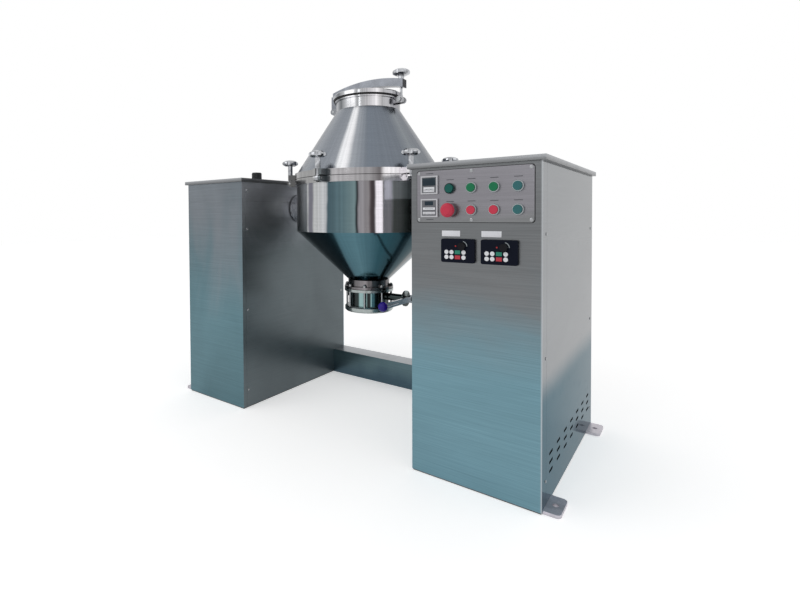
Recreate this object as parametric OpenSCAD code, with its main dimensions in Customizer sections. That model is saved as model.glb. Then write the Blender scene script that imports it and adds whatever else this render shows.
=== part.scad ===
// Double-cone drum mixer that tumbles on trunnions between two floor columns.
// Origin: on the floor, midway between the anchor holes and under the drum shaft.
// +X points to the control column, +Y to the back, +Z up. Millimetres.

/* [Columns] */
// Height of the column panels
col_h = 900; // [880:5:940]
// Depth of both columns
col_d = 668; // [650:2:700]
// Width of the control column
right_w = 368; // [360:2:390]
// Width of the plain column
left_w = 344; // [336:2:370]
// Clear gap between the columns
gap_w = 746; // [740:2:780]
// Thickness of the sheet panels
sheet_t = 2; // [1.5:0.5:3]
// Seam between neighbouring panels
seam = 0.6; // [0.4:0.2:1]
// Height of the panels' lower edge above the floor
floor_gap = 4; // [3:1:8]
// Side return of the front panel on the outer side
outer_return = 40; // [34:2:46]
// Side return of the front panel on the inner side
inner_return = 17; // [14:1:24]
// Height of the seam between the two inner panels
inner_seam_z = 824; // [815:1:835]
// Thickness of the top covers
cover_t = 14; // [12:1:18]
// Overhang of the top covers
cover_over = 10; // [8:1:14]
// Side of the square frame tube
tube_s = 30; // [26:2:34]
// Wall of the frame tube
tube_t = 3; // [2:0.5:4]

/* [Feet and beam] */
// How far the foot brackets stand out
foot_out = 42; // [38:1:50]
// Width of a foot bracket
foot_w = 88; // [70:2:96]
// Thickness of a foot bracket
foot_t = 9; // [7:1:12]
// Radius of an anchor hole
anchor_r = 7.5; // [6:0.5:9]
// Distance between the front and back anchor holes
anchor_span = 566; // [540:2:570]
// Depth of the rear beam
beam_d = 84; // [70:2:100]
// Height of the rear beam
beam_h = 110; // [90:2:130]

/* [Vents] */
// Number of slots in a row
vent_cols = 7; // [5:1:7]
// Number of rows
vent_rows = 3; // [2:1:4]
// Length of a slot
vent_l = 38; // [30:1:44]
// Width of a slot
vent_w = 8; // [6:1:10]
// Distance between slots in a row
vent_pitch = 84; // [76:1:86]
// Distance between rows
vent_rise = 24; // [20:1:28]
// Height of the lowest row
vent_z = 80; // [72:1:90]

/* [Drum] */
// Height of the trunnion shaft
shaft_z = 797; // [790:1:800]
// Outer radius of the barrel
barrel_r = 285; // [275:1:290]
// Thickness of the drum shell
shell_t = 4; // [3:0.5:5]
// Barrel's lower edge below the shaft
barrel_down = 93; // [90:1:96]
// Main flange's middle above the shaft
joint_up = 108; // [106:1:112]
// Radius of the main flanges
flange_r = 292; // [290:1:296]
// Thickness of each main flange
flange_t = 22; // [18:1:24]
// Thickness of the main gasket
gasket_t = 2; // [1:0.5:3]
// Height of the upper cone above its flange
cone_up = 245; // [235:1:250]
// Outer radius of the filling neck
neck_r = 126; // [118:1:132]
// Height of the filling neck
neck_h = 41; // [36:1:46]
// Height of the lower cone
cone_down = 192; // [186:1:196]
// Outer radius of the outlet neck
outlet_r = 82; // [80:1:86]
// Height of the outlet neck
outlet_h = 33; // [30:1:38]

/* [Trunnions] */
// Radius of the trunnion hubs
hub_r = 61; // [56:1:66]
// Radius of the trunnion shafts
trunnion_r = 40; // [36:1:44]
// Radius of the hole through the hollow trunnion
hollow_r = 24; // [22:1:28]
// Radius of the drive end of the solid trunnion
drive_r = 35; // [30:1:36]
// Radius of the chopper shaft
chopper_r = 15; // [12:1:17]
// Radial running clearance of shafts and pins
run_fit = 0.05; // [0.02:0.01:0.1]

/* [Lid] */
// Radius of the lid
lid_r = 138; // [134:1:144]
// Thickness of the lid
lid_t = 16; // [12:1:20]
// Thickness of the lid gasket
lid_gasket_t = 6; // [4:1:8]
// Outer radius of the arm's arch
arch_r = 640; // [600:10:700]
// Height of the arm's section
arm_h = 30; // [26:1:34]
// Width of the arm
arm_w = 30; // [24:1:34]
// Distance from the drum axis to the hinge pin
hinge_out = 165; // [160:1:170]
// Distance from the drum axis to the clamp screw
screw_out = 150; // [148:1:156]
// Radius of the lid's star knob
lid_knob_r = 34; // [30:1:38]

/* [Flange clamps] */
// Angle of the first clamp
clamp_start = 30; // [20:1:40]
// Distance from the drum axis to the clamp bolts
clamp_out = 318; // [314:1:322]
// Radius of a clamp bolt
clamp_r = 6; // [5:0.5:7]
// Radius of a clamp's star knob
clamp_knob_r = 32.5; // [28:0.5:35]

/* [Outlet valve] */
// Radius of the valve's bore
valve_bore_r = 66; // [60:1:68]
// Radius of the valve body between its flanges
valve_r = 79; // [76:1:82]
// Radius of the upper flanges
valve_flange_r = 97; // [94:1:102]
// Height of the valve body from flange to flange
valve_h = 57; // [50:1:64]
// Number of valve bolts
valve_bolts_n = 8; // [6:2:8]
// Length of the lever
lever_l = 197; // [170:1:210]
// Radius of the lever's ball
ball_r = 17.5; // [14:0.5:20]
// Distance from the drum axis to the lever
lever_out = 184; // [176:1:200]

/* [Control panel] */
// Distance from the control plate to the column's edges
plate_side = 19.5; // [16:0.5:22]
// Height of the control plate
plate_h = 148; // [144:1:156]
// Height of the control plate's middle
plate_z = 817; // [812:1:818]
// Distance from the plate's left edge to the middle of the meters
meter_in = 40.5; // [38:0.5:44]
// Distance from the plate's right edge to the last button column
button_in = 39.5; // [36:0.5:44]
// Distance between the two button rows
button_rise = 61; // [58:1:64]
// Radius of a button's ring
ring_r = 15; // [14:0.5:17]
// Travel of a push button
button_travel = 3; // [2:0.5:3]
// Radius of the emergency stop's head
stop_r = 20; // [18:0.5:22]
// Side of a square meter
meter_s = 52; // [48:1:54]
// Width of a drive keypad
keypad_w = 97; // [90:1:100]
// Height of a drive keypad
keypad_h = 66; // [62:1:70]

/* [Hidden] */
$fn = 64;
cut = 1;

// Columns and frame
total_w = right_w + gap_w + left_w;
right_x = total_w / 2 - right_w;
left_x = left_w - total_w / 2;
drum_x = (right_x + left_x) / 2;
front_y = -col_d / 2;
back_y = col_d / 2;
frame_h = col_h + cover_t - sheet_t;
block_wall = 22;
block_seat = 1;
bearing_drop = trunnion_r + run_fit + block_wall + block_seat;
rail_z = shaft_z - bearing_drop - tube_s;
frame_y = col_d / 2 - sheet_t;
foot_level = 0;
head_level = frame_h - tube_s;

// Trunnion line, measured outwards from a column's inner face
hub_gap = 5;
boss_back = 43;
boss_face = gap_w / 2 - boss_back;
collar_l = boss_back - hub_gap;
bearing_u = 47;
bearing_l = 50;
bearing_rail_w = 60;
trunnion_end_u = 85;
gear_u = 95;
gear_l = 120;
drive_step_u = 82;
drive_end_out = 10;
drive_end_u = gear_u + gear_l + drive_end_out;
chopper_bearing_u = 170;
chopper_bearing_l = 36;
chopper_rail_w = 40;
pulley_u = 205;
pulley_l = 36;
chopper_end_out = 9;
chopper_end_u = pulley_u + pulley_l + chopper_end_out;
chopper_reach = 60;
gear_ring_t = 5;
torque_t = 12;
torque_u = gear_u + gear_l - gear_ring_t;
torque_rail_u = torque_u + torque_t;
torque_rail_z = 500;
motor_rail_z = 130;
motor_rail_u = [50, 130];
motor_rail_w = 40;
panel_hole_gap = 6;
panel_hole_r = trunnion_r + panel_hole_gap;

// Drum heights
barrel_z = shaft_z - barrel_down;
joint_z = shaft_z + joint_up;
lower_flange_z = joint_z - gasket_t / 2 - flange_t;
upper_flange_z = joint_z + gasket_t / 2;
cone_z = upper_flange_z + flange_t;
neck_z = cone_z + cone_up;
neck_top_z = neck_z + neck_h;
lip_t = 5;
lip_out = 7;
outlet_z = barrel_z - cone_down;
outlet_low_z = outlet_z - outlet_h;
lid_z = neck_top_z + lid_gasket_t;
lid_top_z = lid_z + lid_t;

// Lid hardware
hinge_drop = 19;
hinge_z = neck_top_z - hinge_drop;
hinge_pin_r = 5;
eye_r = 13;
eye_w = 15;
ear_t = 8;
ear_gap = 0.5;
ear_r = 12;
barrel_nut_r = 10;
nut_drop = 13;
nut_z = neck_top_z - nut_drop;
lid_screw_r = 5;
arch_rise = 59;
arch_top_z = lid_top_z + arch_rise;
arch_mid = 8;
arch_low_z = arch_top_z - arch_r;
arm_end = 14;
seat_r = 16;
seat_rise = 16;
seat_z = lid_top_z + seat_rise;
nut_play = 1.2;

// Clamp hardware; there is one node for each clamp
clamp_count = 6;
pin_r = 4;
clamp_eye_r = 10;
clamp_eye_w = 13;
clamp_pin_up = 13;
clamp_pin_z = lower_flange_z + clamp_pin_up;
lug_t = 9;
lug_gap = 0.5;
fork_over = 5;
fork_w = 38;
fork_play = 0.7;
sleeve_r = 9.5;
sleeve_l = 37;
sleeve_gap = 0.5;
knob_h = 24;
thread_play = 0.2;

// Valve
outlet_flange_t = 8;
valve_gasket_t = 2;
valve_top_z = outlet_low_z - valve_gasket_t;
valve_flange_t = 10;
valve_ring_z = valve_top_z - valve_flange_t - valve_h;
valve_low_t = 22;
valve_low_r = 95.5;
valve_low_z = valve_ring_z - valve_low_t;
stem_up = 38;
stem_z = valve_ring_z + stem_up;
stem_r = 8;
stem_tube_r = 14;
valve_bolt_r = 4;
valve_nut_in = 6.5;
valve_nut_gap = 0.5;
valve_bolt_ring = outlet_r + valve_nut_gap + valve_nut_in;
disc_t = 8;
disc_play = 0.4;
lever_t = 8;

// Control panel
control_x = right_x + right_w / 2;
plate_w = right_w - 2 * plate_side;
meter_x = meter_in - plate_w / 2;
button_cols = 4;
button_pitch = (plate_w - meter_in - button_in) / button_cols;
button_x = meter_x + button_pitch;
button_row_z = 21;
plate_t = 2;
cap_r = 11.8;
stem_hole_r = 9.8;
stem_button_r = 9.5;
meter_row_z = [33, -33];
keypad_in = 39;
keypad_gap = 17.5;
keypad_right_x = plate_w / 2 - keypad_in - keypad_w / 2;
keypad_x = [keypad_right_x - keypad_gap - keypad_w, keypad_right_x];
keypad_z = 664;
keypad_t = 9;

// Plain helpers
module box(low, high) {
    translate(low) cube(high - low);
}

module x_rod(x, l, r, y = 0, z = 0) {
    translate([x, y, z]) rotate([0, 90, 0]) cylinder(h = l, r = r);
}

module y_rod(y, l, r, x = 0, z = 0) {
    translate([x, y, z]) rotate([-90, 0, 0]) cylinder(h = l, r = r);
}

module tube(h, outer, inner) {
    difference() {
        cylinder(h = h, r = outer);
        translate([0, 0, -cut]) cylinder(h = h + 2 * cut, r = inner);
    }
}

// A column's own frame: X runs outwards from the inner face, Y to the back
module on_right() {
    translate([right_x, 0, 0]) children();
}

module on_left() {
    translate([left_x, 0, 0]) mirror([1, 0, 0]) children();
}

// The drum's frame: Z is the drum axis from the floor up
module on_drum() {
    translate([drum_x, 0, 0]) children();
}

// Lays a shape on a plane that faces the front, its Z pointing to the viewer
module facing_front(x, y, z) {
    translate([x, y, z]) rotate([90, 0, 0]) children();
}

// Frames of square tube: each bar is its low corner, its high corner and its axis
function posts(w) = [
    for (x = [sheet_t, w - sheet_t - tube_s], y = [-frame_y, frame_y - tube_s])
        [[x, y, 0], [x + tube_s, y + tube_s, frame_h], 2]
];

function cross_rails(w, z) = [
    for (y = [-frame_y, frame_y - tube_s])
        [[sheet_t + tube_s, y, z], [w - sheet_t - tube_s, y + tube_s, z + tube_s], 0]
];

function long_rail(u, w, z) =
    [[u, tube_s - frame_y, z], [u + w, frame_y - tube_s, z + tube_s], 1];

function level(w, z) = concat(cross_rails(w, z),
    [long_rail(sheet_t, tube_s, z), long_rail(w - sheet_t - tube_s, tube_s, z)]);

function bearing_rail() = long_rail(bearing_u - bearing_rail_w / 2, bearing_rail_w, rail_z);

module tube_frame(bars) {
    difference() {
        union() {
            for (b = bars) box(b[0], b[1]);
        }
        for (b = bars) {
            inset = [for (i = [0:2]) i != b[2] ? tube_t : i == 2 ? -cut : -tube_t - cut];
            box(b[0] + inset, b[1] - inset);
        }
    }
}

module right_frame() {
    color("dimgray") on_right() tube_frame(concat(
        posts(right_w), level(right_w, foot_level), level(right_w, head_level),
        cross_rails(right_w, rail_z), [bearing_rail()],
        cross_rails(right_w, torque_rail_z), [long_rail(torque_rail_u, tube_s, torque_rail_z)]));
}

module left_frame() {
    color("dimgray") on_left() tube_frame(concat(
        posts(left_w), level(left_w, foot_level), level(left_w, head_level),
        cross_rails(left_w, rail_z), [bearing_rail()],
        [long_rail(chopper_bearing_u - chopper_rail_w / 2, chopper_rail_w, rail_z)],
        cross_rails(left_w, motor_rail_z),
        [for (u = motor_rail_u) long_rail(u, motor_rail_w, motor_rail_z)]));
}

// Foot brackets with one anchor hole each
anchor_out = foot_out / 2;
foot_round = 12;
foot_play = 0.5;

module foot(w) {
    start = w - sheet_t;
    end = w + foot_out;
    difference() {
        union() {
            box([start, -foot_w / 2, 0], [end - foot_round, foot_w / 2, foot_t]);
            box([start, foot_round - foot_w / 2, 0], [end, foot_w / 2 - foot_round, foot_t]);
            for (s = [-1, 1])
                translate([end - foot_round, s * (foot_w / 2 - foot_round), 0])
                    cylinder(h = foot_t, r = foot_round);
        }
        translate([w + anchor_out, 0, -cut]) cylinder(h = foot_t + 2 * cut, r = anchor_r);
    }
}

module foot_notch(w) {
    for (s = [-1, 1])
        translate([0, s * anchor_span / 2, 0])
            box([w - sheet_t - cut, -foot_w / 2 - foot_play, floor_gap - cut],
                [w + cut, foot_w / 2 + foot_play, foot_t + foot_play]);
}

module anchor_feet() {
    color("silver") for (s = [-1, 1]) translate([0, s * anchor_span / 2, 0]) {
        on_right() foot(right_w);
        on_left() foot(left_w);
    }
}

// Rear beam, a box section closed by the inner panels
beam_wall = 3;

module rear_beam() {
    color("silver") difference() {
        box([left_x, back_y - beam_d, 0], [right_x, back_y, beam_h]);
        box([left_x - cut, back_y - beam_d + beam_wall, beam_wall],
            [right_x + cut, back_y - beam_wall, beam_h - beam_wall]);
    }
}

// Screw places on the panels, from the middle of the column's depth and the floor
screw_head_r = 4.5;
screw_head_h = 2;
screw_r = 2;
screw_play = 0.3;
side_screw_z = [72, 392, 713];
upper_screw_z = 866;
return_screw_in = 6;
outer_back_in = 32;
inner_front_in = 8;
inner_back_in = 24;
outer_screw_y = [front_y + outer_return - return_screw_in, back_y - outer_back_in];
inner_screw_y = [front_y + inner_return + inner_front_in, back_y - inner_back_in];
back_screw_in = 20;

module x_holes(x, ys, zs, r) {
    for (y = ys, z = zs) x_rod(x - cut, sheet_t + 2 * cut, r, y, z);
}

// Panels, in a column's own frame
module front_panel(w) {
    box([0, front_y, floor_gap], [w, front_y + sheet_t, col_h]);
    box([0, front_y, floor_gap], [sheet_t, front_y + inner_return, col_h]);
    box([w - sheet_t, front_y, floor_gap], [w, front_y + outer_return, col_h]);
}

module outer_panel(w) {
    box([w - sheet_t, front_y + outer_return + seam, floor_gap], [w, back_y - sheet_t, col_h]);
}

module inner_panel(low, high) {
    difference() {
        box([0, front_y + inner_return + seam, low], [sheet_t, back_y - sheet_t, high]);
        x_rod(-cut, sheet_t + 2 * cut, panel_hole_r, 0, shaft_z);
    }
}

// Plates that the control parts pass through
window_in = 14;
barrel_r_small = 11.1;
hole_play = 0.2;
keypad_rim = 4;
keypad_back_w = keypad_w - 2 * keypad_rim;
keypad_back_h = keypad_h - 2 * keypad_rim;
keypad_back_l = 25;

module right_front_panel() {
    color("silver") difference() {
        on_right() front_panel(right_w);
        on_right() foot_notch(right_w);
        on_right() x_holes(right_w - sheet_t, [outer_screw_y[0]], side_screw_z, screw_r + screw_play);
        facing_front(control_x, front_y + sheet_t + cut, plate_z)
            box([window_in - plate_w / 2, window_in - plate_h / 2, 0],
                [plate_w / 2 - window_in, plate_h / 2 - window_in, sheet_t + 2 * cut]);
        for (x = keypad_x)
            facing_front(control_x + x, front_y + sheet_t + cut, keypad_z)
                box([-keypad_back_w / 2 - hole_play, -keypad_back_h / 2 - hole_play, 0],
                    [keypad_back_w / 2 + hole_play, keypad_back_h / 2 + hole_play, sheet_t + 2 * cut]);
        plate_screw_places() translate([0, 0, -sheet_t - cut])
            cylinder(h = sheet_t + 2 * cut, r = screw_r + screw_play);
    }
}

module left_front_panel() {
    color("silver") on_left() difference() {
        front_panel(left_w);
        foot_notch(left_w);
        x_holes(left_w - sheet_t, [outer_screw_y[0]], side_screw_z, screw_r + screw_play);
    }
}

vent_mid_y = 8;

module vent_slots() {
    first = vent_mid_y - (vent_cols - 1) * vent_pitch / 2;
    for (i = [0:vent_cols - 1], j = [0:vent_rows - 1])
        translate([right_w - sheet_t - cut, first + i * vent_pitch, vent_z + j * vent_rise]) {
            run = sheet_t + 2 * cut;
            half = (vent_l - vent_w) / 2;
            box([0, -half, -vent_w / 2], [run, half, vent_w / 2]);
            for (s = [-1, 1]) x_rod(0, run, vent_w / 2, s * half);
        }
}

module right_outer_panel() {
    color("gainsboro") on_right() difference() {
        outer_panel(right_w);
        foot_notch(right_w);
        vent_slots();
        x_holes(right_w - sheet_t, [outer_screw_y[1]], side_screw_z, screw_r + screw_play);
    }
}

module left_outer_panel() {
    color("gainsboro") on_left() difference() {
        outer_panel(left_w);
        foot_notch(left_w);
        x_holes(left_w - sheet_t, [outer_screw_y[1]], side_screw_z, screw_r + screw_play);
    }
}

module lower_inner_panel() {
    difference() {
        inner_panel(floor_gap, inner_seam_z - seam / 2);
        x_holes(0, inner_screw_y, side_screw_z, screw_r + screw_play);
    }
}

module upper_inner_panel() {
    difference() {
        inner_panel(inner_seam_z + seam / 2, col_h);
        x_holes(0, inner_screw_y, [upper_screw_z], screw_r + screw_play);
    }
}

module right_inner_panel() {
    color("gainsboro") on_right() lower_inner_panel();
}

module left_inner_panel() {
    color("gainsboro") on_left() lower_inner_panel();
}

module inner_upper_panels() {
    color("silver") {
        on_right() upper_inner_panel();
        on_left() upper_inner_panel();
    }
}

module back_panel(w) {
    difference() {
        box([0, back_y - sheet_t, floor_gap], [w, back_y, col_h]);
        for (u = [back_screw_in, w - back_screw_in], z = side_screw_z)
            y_rod(back_y - sheet_t - cut, sheet_t + 2 * cut, screw_r + screw_play, u, z);
    }
}

module back_panels() {
    color("silver") {
        on_right() back_panel(right_w);
        on_left() back_panel(left_w);
    }
}

// Folded top covers; the black cap stands in a hole of the plain column's cover
cap_in = 76;
cap_u = left_w - cap_in;
cap_outer_r = 23.5;
cap_h = 58;
cap_stem_r = 10;
cap_stem_l = 30;
cap_nut_r = 16;
cap_nut_h = 6;
cap_ribs = 20;
rib_r = 1.6;

module top_cover(w) {
    difference() {
        box([-cover_over, front_y - cover_over, col_h],
            [w + cover_over, back_y + cover_over, col_h + cover_t]);
        box([sheet_t, front_y + sheet_t, col_h - cut], [w - sheet_t, back_y - sheet_t, frame_h]);
    }
}

module top_covers() {
    color("silver") {
        on_right() top_cover(right_w);
        on_left() difference() {
            top_cover(left_w);
            translate([cap_u, 0, frame_h - cut])
                cylinder(h = sheet_t + 2 * cut, r = cap_stem_r + hole_play);
        }
    }
}

module top_cap() {
    color("black") on_left() translate([cap_u, 0, col_h + cover_t]) {
        difference() {
            rotate_extrude() polygon([[0, 0], [cap_outer_r, 0], [cap_outer_r, cap_h - lip_t],
                [cap_outer_r - lip_t / 2, cap_h], [0, cap_h]]);
            for (i = [0:cap_ribs - 1]) rotate(i * 360 / cap_ribs)
                translate([cap_outer_r, 0, cap_nut_h]) cylinder(h = cap_h, r = rib_r);
        }
        translate([0, 0, -cap_stem_l]) cylinder(h = cap_stem_l, r = cap_stem_r);
        translate([0, 0, -sheet_t - cap_nut_h]) cylinder(h = cap_nut_h, r = cap_nut_r, $fn = 6);
    }
}

// Domed panel screw: head on the sheet, shank through it; Z is outwards
module panel_screw() {
    rotate_extrude() polygon([[0, -sheet_t], [screw_r, -sheet_t], [screw_r, 0], [screw_head_r, 0],
        [screw_head_r, screw_head_h / 2], [screw_head_r / 2, screw_head_h], [0, screw_head_h]]);
}

plate_screw_in = 7;

module plate_screw_places() {
    for (x = [plate_screw_in - plate_w / 2, 0, plate_w / 2 - plate_screw_in],
         z = [plate_screw_in - plate_h / 2, plate_h / 2 - plate_screw_in])
        facing_front(control_x + x, front_y, plate_z + z) children();
}

module column_screws(w) {
    for (y = outer_screw_y, z = side_screw_z)
        translate([w, y, z]) rotate([0, 90, 0]) panel_screw();
    for (y = inner_screw_y, z = concat(side_screw_z, [upper_screw_z]))
        translate([0, y, z]) rotate([0, -90, 0]) panel_screw();
    for (u = [back_screw_in, w - back_screw_in], z = side_screw_z)
        translate([u, back_y, z]) rotate([-90, 0, 0]) panel_screw();
}

module panel_screws() {
    color("lightgray") {
        on_right() column_screws(right_w);
        on_left() column_screws(left_w);
        plate_screw_places() translate([0, 0, plate_t]) {
            panel_screw();
            translate([0, 0, -plate_t - sheet_t]) cylinder(h = sheet_t, r = screw_r);
        }
    }
}

// Bearings
block_base_h = 18;
block_l = 200;
block_bolt_y = 78;
block_bolt_r = 7;
small_block_l = 150;
small_bolt_y = 56;
small_bolt_r = 5;
bolt_play = 0.5;
bolt_head_h = 8;
small_wall = 17;

module bearing_block(u, l, bore, wall, base_l, bolt_y, bolt_r) {
    translate([u - l / 2, 0, 0]) difference() {
        union() {
            x_rod(0, l, bore + wall, 0, shaft_z);
            box([0, -base_l / 2, rail_z + tube_s], [l, base_l / 2, rail_z + tube_s + block_base_h]);
            box([0, -bore - wall, rail_z + tube_s], [l, bore + wall, shaft_z]);
        }
        x_rod(-cut, l + 2 * cut, bore, 0, shaft_z);
        for (s = [-1, 1]) translate([l / 2, s * bolt_y, rail_z + tube_s - cut])
            cylinder(h = block_base_h + 2 * cut, r = bolt_r + bolt_play);
    }
}

module main_block() {
    bearing_block(bearing_u, bearing_l, trunnion_r + run_fit, block_wall, block_l, block_bolt_y,
        block_bolt_r);
}

module bearing_blocks() {
    color("seagreen") {
        on_right() main_block();
        on_left() main_block();
        on_left() bearing_block(chopper_bearing_u, chopper_bearing_l, chopper_r + run_fit, small_wall,
            small_block_l, small_bolt_y, small_bolt_r);
    }
}

// Hexagon bolt standing on z = 0 with its shank below
module hex_bolt(r, grip) {
    cylinder(h = bolt_head_h, r = r * 1.8, $fn = 6);
    translate([0, 0, -grip]) cylinder(h = grip, r = r);
}

motor_foot_y = 62;
motor_block_w = 76;
motor_foot_t = 8;
motor_bolt_r = 4.5;
torque_foot_t = 10;
torque_bolt_y = 28;
torque_w = 80;

module machine_bolts() {
    color("gray") {
        block_top = rail_z + tube_s + block_base_h;
        for (s = [-1, 1]) {
            on_right() translate([bearing_u, s * block_bolt_y, block_top])
                hex_bolt(block_bolt_r, block_base_h);
            on_left() translate([bearing_u, s * block_bolt_y, block_top])
                hex_bolt(block_bolt_r, block_base_h);
            on_left() translate([chopper_bearing_u, s * small_bolt_y, block_top])
                hex_bolt(small_bolt_r, block_base_h);
            on_right() translate([torque_rail_u + tube_s / 2, s * torque_bolt_y,
                torque_rail_z + tube_s + torque_foot_t]) hex_bolt(motor_bolt_r, torque_foot_t);
            for (u = motor_rail_u)
                on_left() translate([u + motor_rail_w / 2, s * motor_foot_y,
                    motor_rail_z + tube_s + motor_foot_t]) hex_bolt(motor_bolt_r, motor_foot_t);
        }
    }
}

// Shaft-mounted worm reducer with its torque arm
gear_r = 95;
worm_drop = 88;
worm_r = 42;
worm_l = 190;
adapter_r = 72;
adapter_t = 12;
gear_ring_r = 62;
adapter_y = worm_l / 2 + adapter_t;
torque_clear = 22;
torque_top_z = shaft_z - drive_r - torque_clear;

module gear_reducer() {
    color("steelblue") on_right() {
        difference() {
            union() {
                x_rod(gear_u + gear_ring_t, gear_l - 2 * gear_ring_t, gear_r, 0, shaft_z);
                x_rod(gear_u, gear_l, gear_ring_r, 0, shaft_z);
                y_rod(-worm_l / 2, worm_l, worm_r, gear_u + gear_l / 2, shaft_z - worm_drop);
                y_rod(worm_l / 2, adapter_t, adapter_r, gear_u + gear_l / 2, shaft_z - worm_drop);
            }
            x_rod(gear_u - cut, gear_l + 2 * cut, drive_r + run_fit, 0, shaft_z);
        }
        difference() {
            union() {
                box([torque_u + mount_gap, -torque_w / 2, torque_rail_z + tube_s + torque_foot_t],
                    [torque_u + torque_t, torque_w / 2, torque_top_z]);
                box([torque_u + mount_gap, -torque_w / 2, torque_rail_z + tube_s],
                    [torque_rail_u + tube_s, torque_w / 2, torque_rail_z + tube_s + torque_foot_t]);
            }
            for (s = [-1, 1])
                translate([torque_rail_u + tube_s / 2, s * torque_bolt_y, torque_rail_z + tube_s - cut])
                    cylinder(h = torque_foot_t + 2 * cut, r = motor_bolt_r + bolt_play);
            x_rod(gear_u, gear_l + 2 * torque_t, gear_ring_r + bolt_play, 0, shaft_z);
        }
    }
}

// Finned motor, Z along its shaft and ending at its front face
motor_fins = 20;
fin_t = 2.5;
fin_h = 8;
cowl_l = 36;
cowl_t = 2;
bell_l = 14;
terminal_l = 70;
terminal_w = 60;
terminal_h = 34;
fan_hole_r = 26;

module motor(l, r) {
    translate([0, 0, -l]) {
        difference() {
            cylinder(h = cowl_l, r = r);
            translate([0, 0, -cut]) cylinder(h = cut + cowl_t, r = fan_hole_r);
        }
        translate([0, 0, cowl_l]) {
            cylinder(h = l - cowl_l - bell_l, r = r - fin_h);
            for (i = [0:motor_fins - 1]) rotate(i * 360 / motor_fins)
                box([r / 2, -fin_t / 2, 0], [r - cowl_t, fin_t / 2, l - cowl_l - bell_l]);
        }
        translate([0, 0, l - bell_l]) cylinder(h = bell_l, r = r);
        box([r / 2, -terminal_w / 2, cowl_l + bell_l],
            [r + terminal_h, terminal_w / 2, cowl_l + bell_l + terminal_l]);
    }
}

motor_back_gap = 45;
drum_motor_l = back_y - sheet_t - motor_back_gap - adapter_y;
drum_motor_r = 68;
chopper_motor_l = 168;
chopper_motor_r = 62;
chopper_motor_up = 80;
chopper_motor_z = motor_rail_z + tube_s + chopper_motor_up;
motor_nose = 8;
chopper_motor_u = motor_rail_u[1] + motor_rail_w + motor_nose;
motor_shaft_r = 10;
motor_socket_l = 20;

// The drum motor stands behind the reducer, so its body runs to the back
module drum_motor() {
    color("steelblue") on_right()
        translate([gear_u + gear_l / 2, adapter_y, shaft_z - worm_drop]) rotate([90, 0, 0])
            motor(drum_motor_l, drum_motor_r);
}

module chopper_motor() {
    color("steelblue") on_left() difference() {
        union() {
            translate([chopper_motor_u, 0, chopper_motor_z]) rotate([0, 90, 0])
                rotate(180) motor(chopper_motor_l, chopper_motor_r);
            for (u = motor_rail_u) {
                box([u, -motor_foot_y - motor_rail_w / 2, motor_rail_z + tube_s],
                    [u + motor_rail_w, motor_foot_y + motor_rail_w / 2,
                        motor_rail_z + tube_s + motor_foot_t]);
                box([u, -motor_block_w / 2, motor_rail_z + tube_s],
                    [u + motor_rail_w, motor_block_w / 2, chopper_motor_z]);
            }
        }
        for (u = motor_rail_u, s = [-1, 1])
            translate([u + motor_rail_w / 2, s * motor_foot_y, motor_rail_z + tube_s - cut])
                cylinder(h = motor_foot_t + 2 * cut, r = motor_bolt_r + bolt_play);
        x_rod(chopper_motor_u - motor_socket_l, motor_socket_l + cut, motor_shaft_r + run_fit, 0,
            chopper_motor_z);
    }
}

// Belt drive of the chopper
belt_w = 28;
belt_t = 5;
belt_gap = 0.3;
rim_h = 4;
chopper_pulley_r = 55;
motor_pulley_r = 35;
belt_span = shaft_z - chopper_motor_z;
belt_lean = asin((chopper_pulley_r - motor_pulley_r) / belt_span);
belt_u = pulley_u + (pulley_l - belt_w) / 2;

module belt_outline(grow) {
    big = chopper_pulley_r + grow;
    small = motor_pulley_r + grow;
    circle(r = small);
    translate([belt_span, 0]) circle(r = big);
    polygon([for (s = [-1, 1], p = s > 0 ? [1, 0] : [0, 1])
        p == 1 ? [belt_span - big * sin(belt_lean), s * big * cos(belt_lean)]
               : [-small * sin(belt_lean), s * small * cos(belt_lean)]]);
}

module drive_belt() {
    color("black") on_left() translate([belt_u, 0, chopper_motor_z])
        rotate([0, -90, 0]) mirror([0, 0, 1]) difference() {
            linear_extrude(belt_w) belt_outline(belt_gap + belt_t);
            translate([0, 0, -cut]) linear_extrude(belt_w + 2 * cut) belt_outline(belt_gap);
        }
}

module pulley(r, bore) {
    side = (pulley_l - belt_w) / 2 - belt_gap;
    rotate_extrude() polygon([[bore, 0], [r + rim_h, 0], [r + rim_h, side], [r, side],
        [r, pulley_l - side], [r + rim_h, pulley_l - side], [r + rim_h, pulley_l], [bore, pulley_l]]);
}

module chopper_pulley() {
    color("darkgray") on_left() translate([pulley_u, 0, shaft_z]) rotate([0, 90, 0])
        pulley(chopper_pulley_r, chopper_r + run_fit);
}

module motor_pulley() {
    color("darkgray") on_left() {
        translate([pulley_u, 0, chopper_motor_z]) rotate([0, 90, 0])
            pulley(motor_pulley_r, motor_shaft_r / 2);
        x_rod(chopper_motor_u - bell_l + seam, pulley_u - chopper_motor_u + bell_l - seam, motor_shaft_r,
            0, chopper_motor_z);
    }
}

// Chopper shaft with slanted blades, seen from its end in the drum
blade_l = 92;
blade_w = 26;
blade_t = 5;
blade_slant = 30;
blade_hub_r = 22;
blade_hub_l = 30;
blade_sets = 5;
blade_pitch = 62;

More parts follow.
